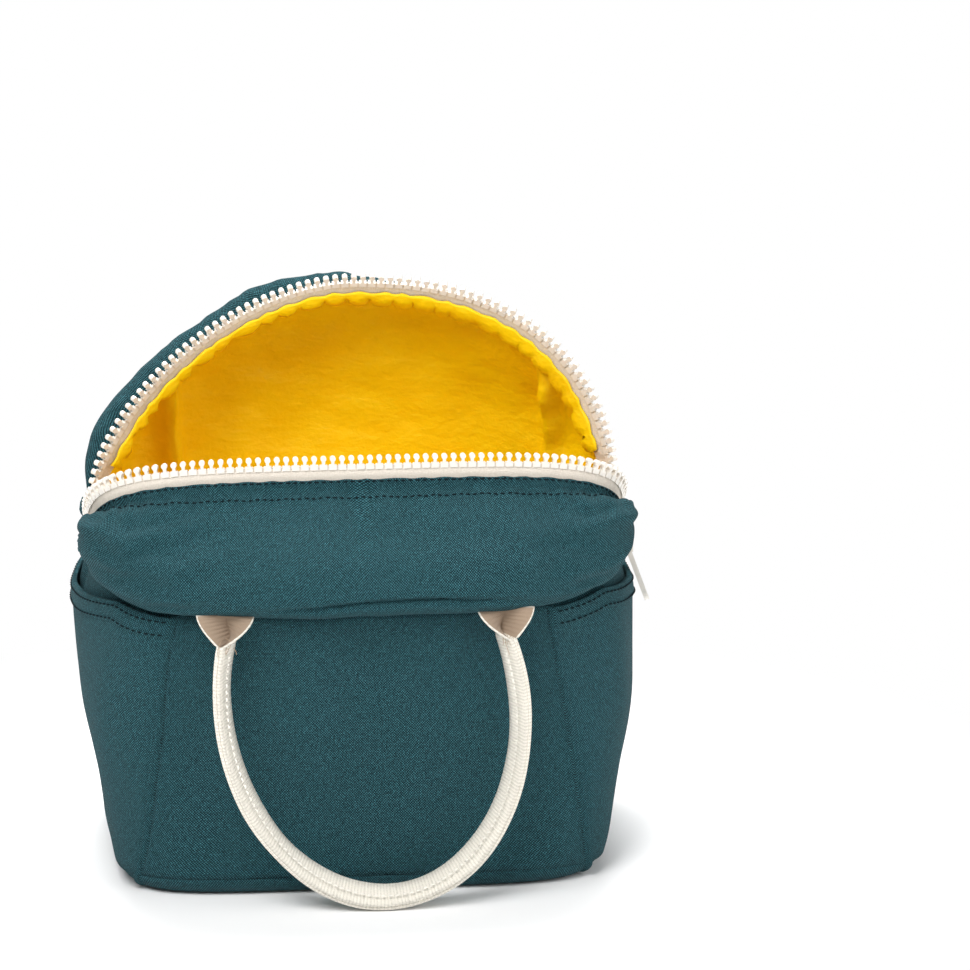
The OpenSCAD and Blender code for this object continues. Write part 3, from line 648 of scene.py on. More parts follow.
def webbing_material(name, light, shade):
    n = Nodes(name)
    uv = n.cloth()
    rib, cross = n.waves(uv, 2 * math.pi / 1.5, 2 * math.pi / 0.9)
    height = n.math("MULTIPLY_ADD", n.math("MULTIPLY", rib, cross), 0.5, n.math("MULTIPLY", rib, 0.5))
    slub = n.noise(n.scaled(uv, (0.5, 2.2, 1.0)), 1.2, 3.0)
    tone = n.math("ADD", n.math("MULTIPLY_ADD", height, 0.22, 0.3), n.math("MULTIPLY", slub, 0.5))
    colour = n.ramp(tone, [(0.2, srgb(shade)), (0.62, srgb(light))])
    return n.surface(colour, 0.9, n.bump(height, 0.0003, 0.7), Sheen_Weight=0.1)


def thread_material(name, code):
    n = Nodes(name)
    twist = n.noise(n.place(), 2200.0, 2.0)
    light = tuple(min(1.0, c * 1.7) for c in srgb(code))
    colour = n.mix(twist, srgb(code), light)
    return n.surface(colour, 0.75, n.bump(twist, 0.0001, 0.6), Specular_IOR_Level=0.15)


MATERIALS = {}


def material(name):
    """The named material, made on first use."""
    if name not in MATERIALS:
        c = bpy.context.scene.lunch_bag_colours
        MATERIALS[name] = {
            "canvas": lambda: canvas_material(c),
            "lining": lambda: lining_material(c),
            "zip_tape": lambda: tape_material(c),
            "elastic": lambda: tape_material(c, "elastic"),
            "zip_teeth": lambda: teeth_material(c),
            "slider": lambda: metal_material(c, "slider_enamel", False),
            # The pull's material also paints shade on its inner side
            "pull": lambda: metal_material(c, "pull_enamel_and_shade", True),
            "webbing": lambda: webbing_material("webbing", c.webbing, c.web_shade),
            # Painted shade: the webbing's darker inner face, and the loose threads at the pinch in the same
            # colour
            "web_inside_shade": lambda: webbing_material("web_inside_shade", c.web_inside_shade, c.web_inside_shade),
            # The canvas stitches' dark colour is painted shade of the stitch holes
            "seam_thread_shade": lambda: thread_material("seam_thread_shade", c.thread),
            "web_thread": lambda: thread_material("web_thread", c.web_thread),
            "fray": lambda: thread_material("fray", c.web_inside_shade),
        }[name]()
    return MATERIALS[name]


def finish_piece(obj, look, body=None, nodes=()):
    obj.data.materials.clear()
    obj.data.materials.append(material(look))
    if nodes:
        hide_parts(*nodes)
    if body:
        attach(obj, body)
    return obj


def sew(look, name, outer, inner, node=None, **kind):
    """A sheet of canvas or lining that is part of the bag's own body."""
    return finish_piece(shell(name, outer, inner, **kind), look, "bag", [node] if node else ())


def dress_node(node, look, bevel=0.0):
    """Gives a shown CAD node its material, and rounds its edges."""
    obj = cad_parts[node]
    obj.data.materials.clear()
    obj.data.materials.append(material(look))
    if bevel:
        smooth_edges(obj, bevel)
    return obj


def bend(obj):
    """Bakes obj's transform into its mesh."""
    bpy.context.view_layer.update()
    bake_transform(obj)
    return obj


# Settings


class LunchBagCloth(bpy.types.PropertyGroup):
    """How the bag's cloth is cut, sewn and slumped"""

    detail: bpy.props.IntProperty(
        name="Grid detail", description="Columns of mesh across each panel", default=72, min=24, max=160)
    stitch: bpy.props.FloatProperty(
        name="Stitch", description="Length of one stitch in millimetres", default=2.1, min=1.0, max=5.0)
    stitch_gap: bpy.props.FloatProperty(
        name="Stitch gap", description="Gap between two stitches in millimetres", default=1.0, min=0.2,
        max=3.0)
    thread: bpy.props.FloatProperty(
        name="Thread", description="Radius of the sewing thread in millimetres", default=0.42, min=0.1,
        max=1.0)
    wrinkle: bpy.props.FloatProperty(
        name="Wrinkles", description="Depth of the yokes' folds in millimetres", default=3.4, min=0.0,
        max=6.0)
    pucker: bpy.props.FloatProperty(
        name="Puckers", description="Depth of the puckers beside the zip in millimetres", default=0.7,
        min=0.0, max=2.0)
    puff: bpy.props.FloatProperty(
        name="Back puff", description="Pull that lifts the back yoke over its teeth, in millimetres",
        default=48.0, min=0.0, max=120.0)
    end_swell: bpy.props.FloatProperty(
        name="End swell", description="Fullness of the front yoke's two ends in millimetres",
        default=10.0, min=0.0, max=20.0)
    turn: bpy.props.FloatProperty(
        name="Strap turn", description="How far the hanging straps turn their inner faces out",
        default=0.46, min=0.0, max=1.2, subtype="ANGLE")
    crease: bpy.props.FloatProperty(
        name="Crease", description="Depth of the crease along the front yoke's lower fold in millimetres",
        default=3.2, min=0.0, max=6.0)
    lift: bpy.props.FloatProperty(
        name="Front lift", description="How high the front yoke's lower fold sits in millimetres",
        default=11.0, min=0.0, max=15.0)


class LunchBagColours(bpy.types.PropertyGroup):
    """Colours of the bag's materials, as hex codes"""

    canvas: bpy.props.StringProperty(name="Canvas", description="Canvas", default="183c43")
    # The darkest canvas tone, partly painted shade in the gaps between the yarns and partly dark yarn
    canvas_dark_and_gap_shade: bpy.props.StringProperty(
        name="Canvas dark", description="Between the canvas yarns", default="071c21")
    # The lightest canvas tone, partly painted highlight on the yarn tops and partly light yarn
    canvas_light_and_top_highlight: bpy.props.StringProperty(
        name="Canvas light", description="Canvas yarn tops", default="4d8b95")
    lining: bpy.props.StringProperty(name="Lining", description="Coated lining", default="ffdf00")
    lining_deep: bpy.props.StringProperty(
        name="Lining deep", description="Coated lining in its folds", default="fbc800")
    tape: bpy.props.StringProperty(name="Zip tape", description="Zip tape", default="efe8dd")
    tape_shade: bpy.props.StringProperty(
        name="Zip tape shade", description="Between the tape's yarns", default="c9bdae")
    teeth: bpy.props.StringProperty(name="Teeth", description="Moulded teeth", default="dfdad2")
    webbing: bpy.props.StringProperty(name="Webbing", description="Cotton webbing", default="f1ebdf")
    web_shade: bpy.props.StringProperty(
        name="Webbing shade", description="Between the webbing's ribs", default="bfb9aa")
    # Painted shade with a brownish tint: the folded webbing's inner face is darker than the webbing,
    # standing in for the shade inside the fold
    web_inside_shade: bpy.props.StringProperty(
        name="Webbing inside", description="Inner face of the folded webbing", default="a08b76")
    metal: bpy.props.StringProperty(name="Enamel", description="Enamel of the slider", default="e4dfd6")
    # Real wear and painted shade: this dark metal colour marks the worn enamel and the pull's shaded inner
    # side
    metal_bare_and_shade: bpy.props.StringProperty(
        name="Bare metal", description="Metal under the enamel", default="5c6462")
    # Painted shade: the canvas stitches are a dark teal far below the canvas, standing in for the shade in
    # the stitch holes
    thread: bpy.props.StringProperty(
        name="Seam thread", description="Thread of the canvas seams", default="03151a")
    web_thread: bpy.props.StringProperty(
        name="Webbing thread", description="Thread in the webbing", default="e2d8c6")


class LunchBagStage(bpy.types.PropertyGroup):
    """Camera and light"""

    azimuth: bpy.props.FloatProperty(
        name="Azimuth", description="Camera's turn about the bag in degrees", default=-5.0)
    elevation: bpy.props.FloatProperty(
        name="Elevation", description="Camera's height angle in degrees", default=16.6)
    distance: bpy.props.FloatProperty(
        name="Distance", description="Camera distance", default=2.5, min=0.5, max=10.0, unit="LENGTH",
        subtype="DISTANCE")
    width: bpy.props.FloatProperty(
        name="View width", description="Width that the frame takes in", default=0.4283, min=0.1, max=2.0,
        unit="LENGTH", subtype="DISTANCE")
    target: bpy.props.FloatVectorProperty(
        name="Target", description="Point in the middle of the frame", default=(0.0588, 0.0, 0.1629),
        size=3, subtype="TRANSLATION", unit="LENGTH")
    key: bpy.props.FloatProperty(name="Key light", description="Key light in watts", default=24.0, min=0.0)
    top: bpy.props.FloatProperty(
        name="Top light", description="Light above and behind in watts", default=26.0, min=0.0)
    fill: bpy.props.FloatProperty(name="Fill light", description="Fill light in watts", default=9.0, min=0.0)


# Operators


class LUNCHBAG_OT_panels(bpy.types.Operator):
    """Builds the canvas panels, the base and their linings"""

    bl_idname = "lunch_bag.panels"
    bl_label = "Panels and linings"

    def execute(self, context):
        n = context.scene.lunch_bag_cloth.detail
        rows = 44
        k = np.linspace(0, 1, rows)[None, :]
        for side, name in ((-1, "front"), (1, "back")):
            share = np.linspace(0, 1, n)[:, None]
            z = lerp(BASE_R, SEAM_Z, k) + 0 * share
            f = face_angle(z, side, share)
            layers = [wall(f, z, t) for t in LAYERS]
            sew("canvas", f"{name}_canvas", *layers[:2], f"{name}_panel")
            sew("lining", f"{name}_lining", *layers[1:], f"lining_{name}")
        for hand, name in ((-1, "left"), (1, "right")):
            share = np.linspace(-1, 1, n)[:, None]
            z = lerp(BASE_R, side_top(share), k)
            layers = [side_wall(hand, share + 0 * z, z, t) for t in LAYERS]
            sew("canvas", f"{name}_side_canvas", *layers[:2], f"{name}_side_panel")
            sew("lining", f"{name}_side_lining", *layers[1:], f"lining_{name}")
        self.dish("canvas", "base_canvas", 0, CANVAS_T, "base_panel")
        self.dish("lining", "base_lining", CANVAS_T, LINING_T, "lining_base")
        return {"FINISHED"}

    def dish(self, look, name, floor, thick, node):
        """A shallow dish of cloth: its rounded rim, then rings in to the middle of the floor."""
        f = np.linspace(-180, 180, 160, endpoint=False)

        def rings(extra, bottom):
            heights = np.linspace(BASE_R, bottom, 8)
            rim = [wall(f, np.full_like(f, z), floor + extra, False) for z in heights]
            flat = [rim[-1] * np.array([s, s, 1]) for s in (0.97, 0.85, 0.6, 0.3, 0.02)]
            return np.stack(rim + flat, 1)

        sew(look, name, rings(0, floor), rings(thick, floor + thick), node, closed=True)


class LUNCHBAG_OT_side_pockets(bpy.types.Operator):
    """Builds the slip pockets on the bag's sides, with their turned hems and stitching"""

    bl_idname = "lunch_bag.side_pockets"
    bl_label = "Side pockets"

    def surface(self, hand, share, z, out):
        f = side_angle(z, share)
        f = f if hand > 0 else 180 - f
        room = np.where(np.abs(share) >= 1, 0, pocket_room(share, z))
        return wall(f, z, -out - room)

    def execute(self, context):
        style = context.scene.lunch_bag_cloth
        n, rows = style.detail, 40
        share = np.linspace(-1, 1, n)[:, None]
        for hand, name in ((-1, "left"), (1, "right")):
            top = pocket_top(share)
            z = lerp(BASE_R, top, np.linspace(0, 1, rows)[None, :])
            outer, inner = [self.surface(hand, share + 0 * z, z, t) for t in (CANVAS_T, 0)]
            sew("canvas", f"{name}_pocket_canvas", outer, inner, f"{name}_side_pocket")
            v = np.linspace(0, 1, 7)[None, :]
            z = lerp(top - HEM_H, top + 0.2, v)
            ease_in = 0.35 * np.sin(np.pi * v) ** 0.5
            outer = self.surface(hand, share + 0 * z, z, CANVAS_T + 0.55 * HEM_T + ease_in * HEM_T)
            inner = self.surface(hand, share + 0 * z, z, CANVAS_T)
            smooth_edges(sew("canvas", f"{name}_hem_canvas", outer, inner, f"{name}_pocket_hem"), 0.3)
            parts = []
            for drop in (1.8, HEM_H - 1.6):
                z = top - drop
                line = self.surface(hand, share * 0.99, z, CANVAS_T + 0.9 * HEM_T)[:, 0]
                out = unit(line * np.array([1, 1, 0]))
                parts += stitch_parts(line, out, style)
            # The stitches' dark colour is painted shade of the stitch holes
            finish_piece(joined(f"{name}_hem_stitches", parts), "seam_thread_shade", "bag")
        return {"FINISHED"}


class LUNCHBAG_OT_yokes(bpy.types.Operator):
    """Builds the slumped upper cloth on both sides of the mouth, its lining and its stitching"""

    bl_idname = "lunch_bag.yokes"
    bl_label = "Yokes"

    def rumple(self, side, grid, u, v, style):
        """Folds of the slumped cloth, none at the seam or the tape."""
        uu, vv = np.meshgrid(u, v, indexing="ij")
        window = np.sin(np.pi * np.clip(vv / TAPE_ROW, 0, 1)) ** 0.7
        x, y, z = np.moveaxis(grid, -1, 0)
        broad, fine = field(x, y, z, 42.0, 5.0 + side), field(x, y * 0.5, z, 15.0, 2.0 - side)
        ends = np.exp(-np.minimum(uu, 1 - uu) / 0.10)
        ridges = np.sin(vv * 9 + 5 * field(x, y, z, 30.0, 8.0))
        near = np.clip((vv - 0.55) / 0.31, 0, 1) * np.clip((1.0 - vv) / 0.14, 0, 1)
        pucker = np.sin(uu * RIMS[side].length / 11 * 2 * np.pi + 4 * fine)
        crease = np.zeros_like(uu)
        if side < 0:
            at = 0.21 - 0.05 * np.cos(2 * np.pi * (uu - 0.30) / 0.5)
            along = ease((uu - 0.36) / 0.1) * ease((0.72 - uu) / 0.12)
            crease = -style.crease * np.exp(-(((vv - at) / 0.022) ** 2)) * along
            drag = np.sin(34 * (vv - 0.9 * uu) + 3 * fine) * np.exp(-(((uu - 0.22) / 0.10) ** 2))
            drag += np.sin(30 * (vv + 0.9 * uu) + 3 * fine) * np.exp(-(((uu - 0.80) / 0.10) ** 2))
            crease += 1.3 * drag * window
        ends = ends * ease(np.minimum(uu, 1 - uu) / 0.09)
        folds = style.wrinkle * window * (0.8 * broad + 0.35 * fine + 0.5 * ends * ridges)
        return crease + folds + style.pucker * near * pucker

    def slack(self, side, grid, u, v):
        """How far the lining hangs off the canvas: at its own seams, and in soft folds below the tape."""
        uu, vv = np.meshgrid(u, v, indexing="ij")
        hang = ease(vv / 0.12) * ease((0.80 - vv) / 0.25)
        x, y, z = np.moveaxis(grid, -1, 0)
        folds = LINING_SLACK * (1 + field(x, y, 0.3 * z, 24.0, 21.0 + side))
        seam = sum(SIDE_SEAM_DEPTH * np.exp(-(((uu - at + 0.02 * vv) / 0.012) ** 2)) for at in SIDE_SEAMS)
        near = np.clip((vv - 0.6) / 0.2, 0, 1) * np.clip((TAPE_ROW - vv) / 0.06, 0, 1)
        hang = hang * ease((uu - 0.08) / 0.06) * ease((0.92 - uu) / 0.06)
        return hang * (folds + seam) + 0.8 * near * (1 + np.sin(uu * RIMS[side].length / 14 * 2 * np.pi))

    def execute(self, context):
        style = context.scene.lunch_bag_cloth
        cols, rows = 2 * style.detail + 1, 46
        for side, name in ((-1, "front"), (1, "back")):
            grid, inward, u, v = yoke_surface(side, cols, rows, style)
            grid = grid - inward * self.rumple(side, grid, u, v, style)[..., None]
            inward = side * grid_normals(grid)
            parting = (ease((v - 0.80) / 0.06) * (TAPE_T + 2 * TAPE_LAP))[None, :, None]
            loose = self.slack(side, grid, u, v)[..., None]
            layers = [
                grid,
                grid + inward * CANVAS_T,
                grid + inward * (CANVAS_T + parting + loose),
                grid + inward * (CANVAS_T + LINING_T + parting + loose),
            ]
            kept = slice(12, -12)
            canvas = shell(f"{name}_yoke_canvas", layers[0], layers[1])
            lining = shell(f"{name}_yoke_lining_cloth", layers[2][kept], layers[3][kept])
            for obj, look, end in ((canvas, "canvas", ""), (lining, "lining", "_lining")):
                finish_piece(obj, look, None, [f"{name}_yoke{end}"])
                bend(obj)
            self.stitches(name, grid, inward, v, style)
        return {"FINISHED"}

    def stitches(self, name, grid, inward, v, style):
        """Two rows beside the tape, which move with it."""
        parts = []
        for at in RIM_STITCHES:
            line, nrm = grid_line(grid, -inward, v, at)
            parts += stitch_parts(line[2:-2], nrm[2:-2], style)
        # The stitches' dark colour is painted shade of the stitch holes
        finish_piece(joined(f"{name}_rim_stitches", parts), "seam_thread_shade", f"{name}_top")


class LUNCHBAG_OT_zip(bpy.types.Operator):
    """Dresses the zip: tapes, teeth, joined end, stop, slider and pull"""

    bl_idname = "lunch_bag.zip"
    bl_label = "Zip"

    def execute(self, context):
        for node in ("front_zip_teeth", "back_zip_teeth", "joined_zip_teeth", "bottom_stop"):
            dress_node(node, "zip_teeth")
        for node in ("front_zip_tape", "back_zip_tape", "joined_zip_tape"):
            dress_node(node, "zip_tape")
        dress_node("zip_slider", "slider", 0.45)
        dress_node("pull_tab", "pull", 0.5)
        return {"FINISHED"}


class LUNCHBAG_OT_handles(bpy.types.Operator):
    """Builds the folded webbing handles, their stitching and frayed ends"""

    bl_idname = "lunch_bag.handles"
    bl_label = "Handles"

    def stations(self, side):
        """Rows along the strap: centre, half thickness, half width, distance out and share folded."""
        pinch = HANDLE_TOP - PINCH_L
        low = SEAM_Z - 2 * WEBBING_T - 0.4 - LOOP_DROP + WEBBING_T
        turn = math.degrees(math.acos(HANDLE_HALF / LOOP_HALF))
        rise = (pinch - low) / (1 + math.sin(math.radians(turn)))
        hinge = float(half_d(SEAM_Z, side)) + WEBBING_T + FIT
        strap = float(half_d(SEAM_Z, side)) + WEBBING_W / 4 + 2 * FIT
        rows = []

        def end(hand, k):
            q = lerp(SEWN_FOLD, 1.0, k)
            width, thick = lerp(WEBBING_T, WEBBING_W / 2, q) / 2, lerp(WEBBING_W, 2 * WEBBING_T, q) / 2
            out = lerp(hinge, strap, q)
            rows.append((hand * HANDLE_HALF, HANDLE_TOP - k * PINCH_L, width, thick, out, q))

        for k in np.linspace(0, 1, 14, endpoint=False):
            end(-1, k)
        for a in np.linspace(turn, -180 - turn, 110):
            z = low + rise * (1 + math.sin(math.radians(a)))
            x = -LOOP_HALF * math.cos(math.radians(a)) + LOOP_SKEW * (pinch - z) / (pinch - low)
            rows.append((x, z, WEBBING_W / 4, WEBBING_T, strap, 1.0))
        for k in np.linspace(1, 0, 15)[1:]:
            end(1, k)
        return np.array(rows)

    def profile(self, q):
        """Section of the webbing: flat at its sewn end (0), folded in half with its edges outward (1)."""
        half, t = WEBBING_W / 2, WEBBING_T / 2
        turn = math.radians(90 * q)
        c, sn = math.cos(turn), math.sin(turn)

        def at(share, offset):
            hand = 1 if share >= 0 else -1
            reach = abs(share) * half
            u = reach * sn + offset * c - half * sn / 2
            v = hand * (reach * c + t * sn - offset * sn)
            return u, v

        shares = (0.97, 0.66, 0.33, 1e-6, -1e-6, -0.33, -0.66, -0.97)
        back, front = [at(k, -t) for k in shares], [at(k, t * 0.94) for k in shares[::-1]]
        return back + [at(-1.0, -t * 0.4), at(-1.0, t * 0.4)] + front + [at(1.0, t * 0.4), at(1.0, -t * 0.4)]

    def execute(self, context):
        style = context.scene.lunch_bag_cloth
        for side, name in ((-1, "front"), (1, "back")):
            s = self.stations(side)
            m = len(s)
            d = unit(np.gradient(s[:, :2], axis=0))
            across = np.stack([-d[:, 1], d[:, 0]], -1)
            flat = np.array([[1.0 if i < m / 2 else -1.0, 0.0] for i in range(m)])
            sign = np.sign((across * flat).sum(1))[:, None]
            k = ease((s[:, 5]) / 0.6)[:, None]
            across = unit(lerp(flat * np.where(sign == 0, 1, sign), across, k))
            waver = field(s[:, 0], s[:, 1] * 0.7, s[:, 4], 30.0, 1.5 + side)
            tilt = side * (style.turn + 0.22 * waver)
            run = run_along(s[:, :2])
            rings, uvs = [], []
            for i in range(m):
                x, z, _, _, out, q = s[i]
                ring = self.profile(q)
                c, sn = math.cos(tilt[i] * q), math.sin(tilt[i] * q)
                perim = 0.0
                for j, (pu, pv) in enumerate(ring):
                    u2, v2 = pu * c - pv * sn, pu * sn + pv * c
                    px = x + v2 * across[i, 0]
                    pz = z + v2 * across[i, 1]
                    rings.append((px, side * (out + u2 + 1.0 * q * waver[i] * 0.6), pz))
                    if j:
                        perim += math.hypot(ring[j][0] - ring[j - 1][0], ring[j][1] - ring[j - 1][1])
                    uvs.append((run[i], perim))
            count = len(ring)
            faces = ring_faces(m, count)
            if side > 0:
                faces = [f[::-1] for f in faces]
            obj = new_mesh(f"{name}_webbing", np.array(rings), faces, np.array(uvs))
            finish_piece(obj, "webbing", None, [f"{name}_handle"])
            # Painted shade: where the webbing opens out at its sewn ends, its inner faces get the darker
            # inner colour, standing in for the shade inside the fold
            obj.data.materials.append(material("web_inside_shade"))
            for i in range(m - 1):
                if s[i, 5] < OPEN_FOLD:
                    for j in range(10, 17):
                        obj.data.polygons[i * count + j].material_index = 1
            bend(obj)
            parts = []
            for hand in (-1, 1):
                v = hand * (s[:, 3] + 0.02)
                out = side * (s[:, 4] + s[:, 2] - 2.4)
                line = np.stack([s[:, 0] + v * across[:, 0], out, s[:, 1] + v * across[:, 1]], -1)
                nrm = np.stack([hand * across[:, 0], 0 * v, hand * across[:, 1]], -1)
                parts += stitch_parts(line[15:-15], nrm[15:-15], style)
            stitches = joined(f"{name}_webbing_stitches", parts)
            finish_piece(stitches, "web_thread", f"{name}_handle")
            self.fray(side, name, s)
        return {"FINISHED"}

    def fray(self, side, name, s):
        """Loose threads where the webbing is pinched together."""
        rng = np.random.default_rng(11 + side)
        parts = []
        for i in (12, len(s) - 13):
            for _ in range(7):
                x, z = s[i, 0] + rng.uniform(-3, 3), s[i, 1] + rng.uniform(-3, 3)
                p0 = np.array([x, side * (s[i, 4] + s[i, 2] - 0.4), z])
                d = np.array([rng.uniform(-1, 1), side * rng.uniform(0.1, 0.5), rng.uniform(-1.4, 0.2)])
                t = np.linspace(0, 1, 7)[:, None]
                curl = np.array([rng.uniform(-1, 1), 0, rng.uniform(-1, 0)])
                parts.append(tube(p0 + d * t * rng.uniform(2, 4.5) + curl * t * t * 1.8, 0.13, 5))
        # The threads take the webbing's darker inner colour, which is painted shade
        finish_piece(joined(f"{name}_webbing_fray", parts), "fray", f"{name}_handle")


class LUNCHBAG_OT_bottle_pocket(bpy.types.Operator):
    """Builds the gathered inner pocket and its elastic hem"""

    bl_idname = "lunch_bag.bottle_pocket"
    bl_label = "Bottle pocket"

    def top(self, t):
        return lerp(SEAM_Z - BOTTLE_DIP, BOTTLE_Z, np.sin(np.pi * t) ** 0.5)

    def points(self, t, z, inward):
        reach = BOTTLE_W - GATHER * (z / BOTTLE_Z) ** 2
        root = CANVAS_T + LINING_T + FIT
        a, b = [wall(np.full_like(z, f), z, root, False) for f in (FRONT_ROOT, BACK_ROOT)]
        x = (8 * (half_w(z) - CANVAS_T - LINING_T - reach) - a[..., 0] - b[..., 0]) / 6
        c = np.stack([x, a[..., 1] - FRONT_LEAD, z], -1)
        d = np.stack([x, b[..., 1] - BACK_LEAD, z], -1)
        tt = t[..., None]
        p, q = bezier(a, c, d, b, tt), bezier(a, c, d, b, tt + T_PROBE)
        n = unit(np.stack([q[..., 1] - p[..., 1], p[..., 0] - q[..., 0], 0 * z], -1))
        near = np.exp(-(self.top(t) - z) / 38)
        ruffle = sum(h * np.sin(t * 2 * np.pi * rate + start) for h, rate, start in ELASTIC_RUFFLES)
        return p + (inward + near * ruffle * np.sin(np.pi * t))[..., None] * n

    def cloth(self, name, low, high, inward, thick, rows):
        t = np.linspace(0, 1, 161)[:, None]
        top = self.top(t)
        start = top + low if low < 0 else np.full_like(top, low)
        z = lerp(start, top + high, np.linspace(0, 1, rows)[None, :])
        tt = t + 0 * z
        return shell(name, self.points(tt, z, inward + 0 * z), self.points(tt, z, inward + thick + 0 * z))

    def execute(self, context):
        obj = self.cloth("bottle_pocket_cloth", BASE_R + FIT, 0, 0, LINING_T, 46)
        finish_piece(obj, "lining", "bag", ["bottle_pocket"])
        hem = ELASTIC_W + 2 * ELASTIC_T
        obj = self.cloth("bottle_pocket_hem_cloth", -hem, 0, LINING_T + ELASTIC_T + 2 * FIT, LINING_T, 8)
        finish_piece(obj, "lining", "bag", ["bottle_pocket_hem"])
        obj = self.cloth("elastic_band", -ELASTIC_W - ELASTIC_T, -ELASTIC_T, LINING_T + FIT, ELASTIC_T, 6)
        finish_piece(obj, "elastic", "bag", ["pocket_elastic"])
        return {"FINISHED"}


class LUNCHBAG_OT_seams(bpy.types.Operator):
    """Rolls a strip of canvas over each seam between the panels"""

    bl_idname = "lunch_bag.seams"
    bl_label = "Body seams"

    def execute(self, context):
        z = np.linspace(1.5, SEAM_Z - 0.5, 90)[None, :]
        across = np.linspace(-1, 1, 9)[:, None]
        crown = 1.5 * np.sqrt(1 - 0.96 * across**2)
        for side, face in ((-1, "front"), (1, "back")):
            for hand, name in ((-1, "left"), (1, "right")):
                f = seam_angle(z, side)
                f = side * (f if hand > 0 else 180 - f) + 0.75 * across
                sew("canvas", f"{face}_{name}_seam_edge", wall(f, z, -crown), wall(f, z, 0.4 + 0 * crown))
        return {"FINISHED"}


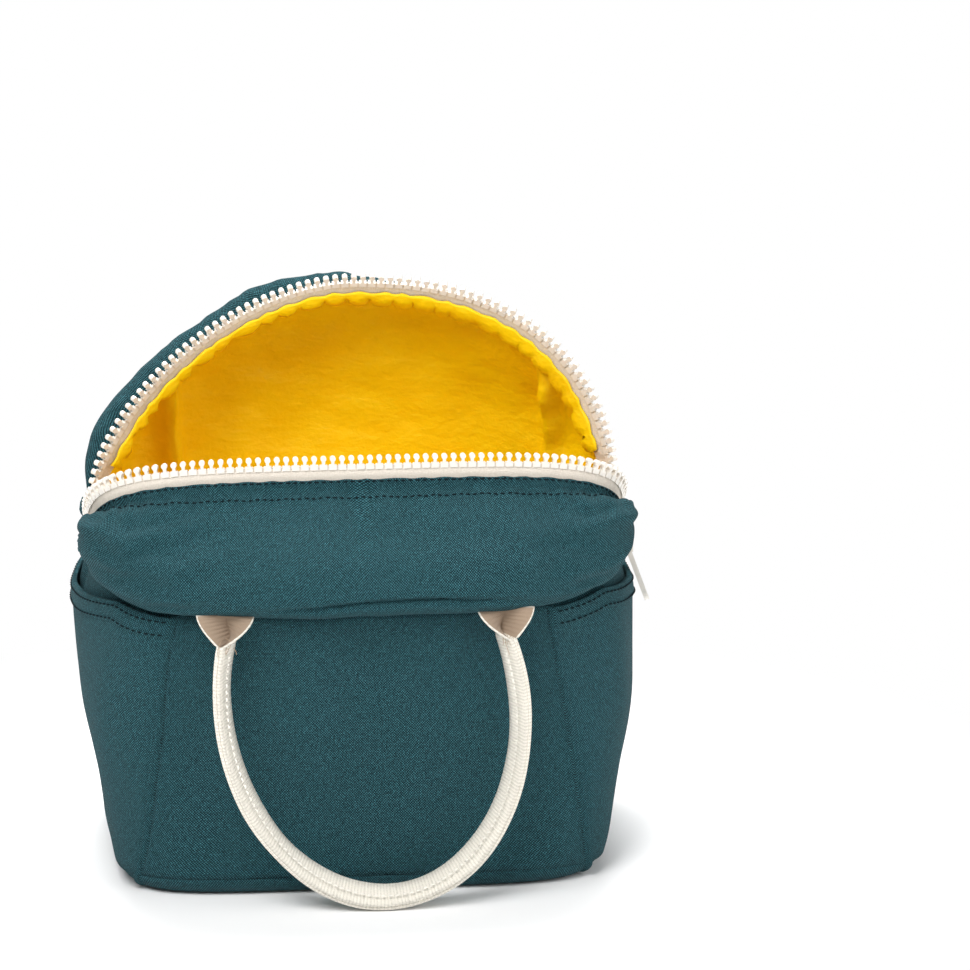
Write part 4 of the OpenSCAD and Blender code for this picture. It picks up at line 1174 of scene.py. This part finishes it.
class LUNCHBAG_OT_stage(bpy.types.Operator):
    """Builds the floor, the soft lights and the camera"""

    bl_idname = "lunch_bag.stage"
    bl_label = "Stage"

    def execute(self, context):
        stage = context.scene.lunch_bag_stage
        self.floor()
        self.world(context)
        for name, at, size, power in (
            ("key", (-0.55, -0.95, 1.35), 0.9, stage.key),
            ("fill", (1.1, -0.8, 0.9), 1.1, stage.fill),
            ("top", (0.0, 0.55, 1.35), 0.9, stage.top),
        ):
            light = bpy.data.lights.new(name, "AREA")
            light.energy, light.size, light.shape = power, size, "SQUARE"
            obj = bpy.data.objects.new(name, light)
            obj.location = at
            obj.rotation_euler = (Vector((0, 0, 0.12)) - Vector(at)).to_track_quat("-Z", "Y").to_euler()
            context.scene.collection.objects.link(obj)
        self.camera(context, stage)
        context.scene.view_settings.view_transform = "Standard"
        return {"FINISHED"}

    def floor(self):
        mesh = bpy.data.meshes.new("floor")
        s = 6.0
        mesh.from_pydata([(-s, -s, 0), (s, -s, 0), (s, s, 0), (-s, s, 0)], [], [(0, 1, 2, 3)])
        obj = bpy.data.objects.new("floor", mesh)
        bpy.context.scene.collection.objects.link(obj)
        n = Nodes("floor")
        pale = (("Base Color", (0.95, 0.95, 0.95, 1)), ("Roughness", 0.7), ("Specular IOR Level", 0.1))
        for key, value in pale:
            n.bsdf.inputs[key].default_value = value
        # Past the bag's shadow the floor is as white as the backdrop
        squares = [
            n.math("POWER", n.math("MULTIPLY", axis, 1 / size), 2.0)
            for axis, size in zip(n.axes(n.place()), FLOOR_PATCH)
        ]
        reach = n.math("SQRT", n.math("ADD", *squares))
        fade = n.add("ShaderNodeMapRange", interpolation_type="SMOOTHSTEP")
        n.put(fade.inputs["Value"], reach)
        fade.inputs["From Min"].default_value = 0.45
        fade.inputs["From Max"].default_value = 1.0
        white = n.add("ShaderNodeEmission")
        blend = n.add("ShaderNodeMixShader")
        n.link(fade.outputs[0], blend.inputs[0])
        n.link(n.bsdf.outputs[0], blend.inputs[1])
        n.link(white.outputs[0], blend.inputs[2])
        # Only the camera sees the white, so that it doesn't light the bag from below
        path = n.add("ShaderNodeLightPath")
        seen = n.add("ShaderNodeMixShader")
        n.link(path.outputs["Is Camera Ray"], seen.inputs[0])
        n.link(n.bsdf.outputs[0], seen.inputs[1])
        n.link(blend.outputs[0], seen.inputs[2])
        n.link(seen.outputs[0], n.out.inputs[0])
        mesh.materials.append(n.material)

    def world(self, context):
        """White to the camera, and a dimmer white to everything else."""
        world = bpy.data.worlds.new("studio")
        world.use_nodes = True
        tree = world.node_tree
        tree.nodes.clear()
        path = tree.nodes.new("ShaderNodeLightPath")
        lit, seen = tree.nodes.new("ShaderNodeBackground"), tree.nodes.new("ShaderNodeBackground")
        lit.inputs[0].default_value, lit.inputs[1].default_value = (1, 1, 1, 1), 0.26
        seen.inputs[0].default_value, seen.inputs[1].default_value = (1, 1, 1, 1), 1.0
        mix, out = tree.nodes.new("ShaderNodeMixShader"), tree.nodes.new("ShaderNodeOutputWorld")
        tree.links.new(path.outputs["Is Camera Ray"], mix.inputs[0])
        tree.links.new(lit.outputs[0], mix.inputs[1])
        tree.links.new(seen.outputs[0], mix.inputs[2])
        tree.links.new(mix.outputs[0], out.inputs[0])
        context.scene.world = world

    def camera(self, context, stage):
        data = bpy.data.cameras.new("camera")
        data.sensor_width = 36.0
        data.lens = 36.0 * stage.distance / stage.width
        data.clip_end = 50
        cam = bpy.data.objects.new("camera", data)
        a, e = math.radians(stage.azimuth), math.radians(stage.elevation)
        back = Vector((math.sin(a) * math.cos(e), -math.cos(a) * math.cos(e), math.sin(e)))
        cam.location = Vector(stage.target) + back * stage.distance
        cam.rotation_mode = "QUATERNION"
        cam.rotation_quaternion = (-back).to_track_quat("-Z", "Y")
        context.scene.collection.objects.link(cam)
        context.scene.camera = cam


class LUNCHBAG_PT_panel(bpy.types.Panel):
    """Lunch bag settings and build steps"""

    bl_idname = "LUNCHBAG_PT_panel"
    bl_label = "Lunch Bag"
    bl_space_type = "VIEW_3D"
    bl_region_type = "UI"
    bl_category = "Lunch Bag"

    def draw(self, context):
        layout = self.layout
        for group in ("lunch_bag_cloth", "lunch_bag_colours", "lunch_bag_stage"):
            box = layout.box()
            settings = getattr(context.scene, group)
            for key in settings.__annotations__:
                box.prop(settings, key)
        for step in STEPS:
            layout.operator(step.bl_idname)


STEPS = (
    LUNCHBAG_OT_stage,
    LUNCHBAG_OT_panels,
    LUNCHBAG_OT_seams,
    LUNCHBAG_OT_side_pockets,
    LUNCHBAG_OT_yokes,
    LUNCHBAG_OT_zip,
    LUNCHBAG_OT_handles,
    LUNCHBAG_OT_bottle_pocket,
)
GROUPS = {
    "lunch_bag_cloth": LunchBagCloth,
    "lunch_bag_colours": LunchBagColours,
    "lunch_bag_stage": LunchBagStage,
}


def register():
    for name, group in GROUPS.items():
        bpy.utils.register_class(group)
        setattr(bpy.types.Scene, name, bpy.props.PointerProperty(type=group))
    for cls in (*STEPS, LUNCHBAG_PT_panel):
        bpy.utils.register_class(cls)


def unregister():
    for cls in (LUNCHBAG_PT_panel, *reversed(STEPS)):
        bpy.utils.unregister_class(cls)
    for name, group in GROUPS.items():
        delattr(bpy.types.Scene, name)
        bpy.utils.unregister_class(group)


def main():
    register()
    for step in STEPS:
        area, verb = step.bl_idname.split(".")
        getattr(getattr(bpy.ops, area), verb)()


if __name__ == "__main__":
    main()
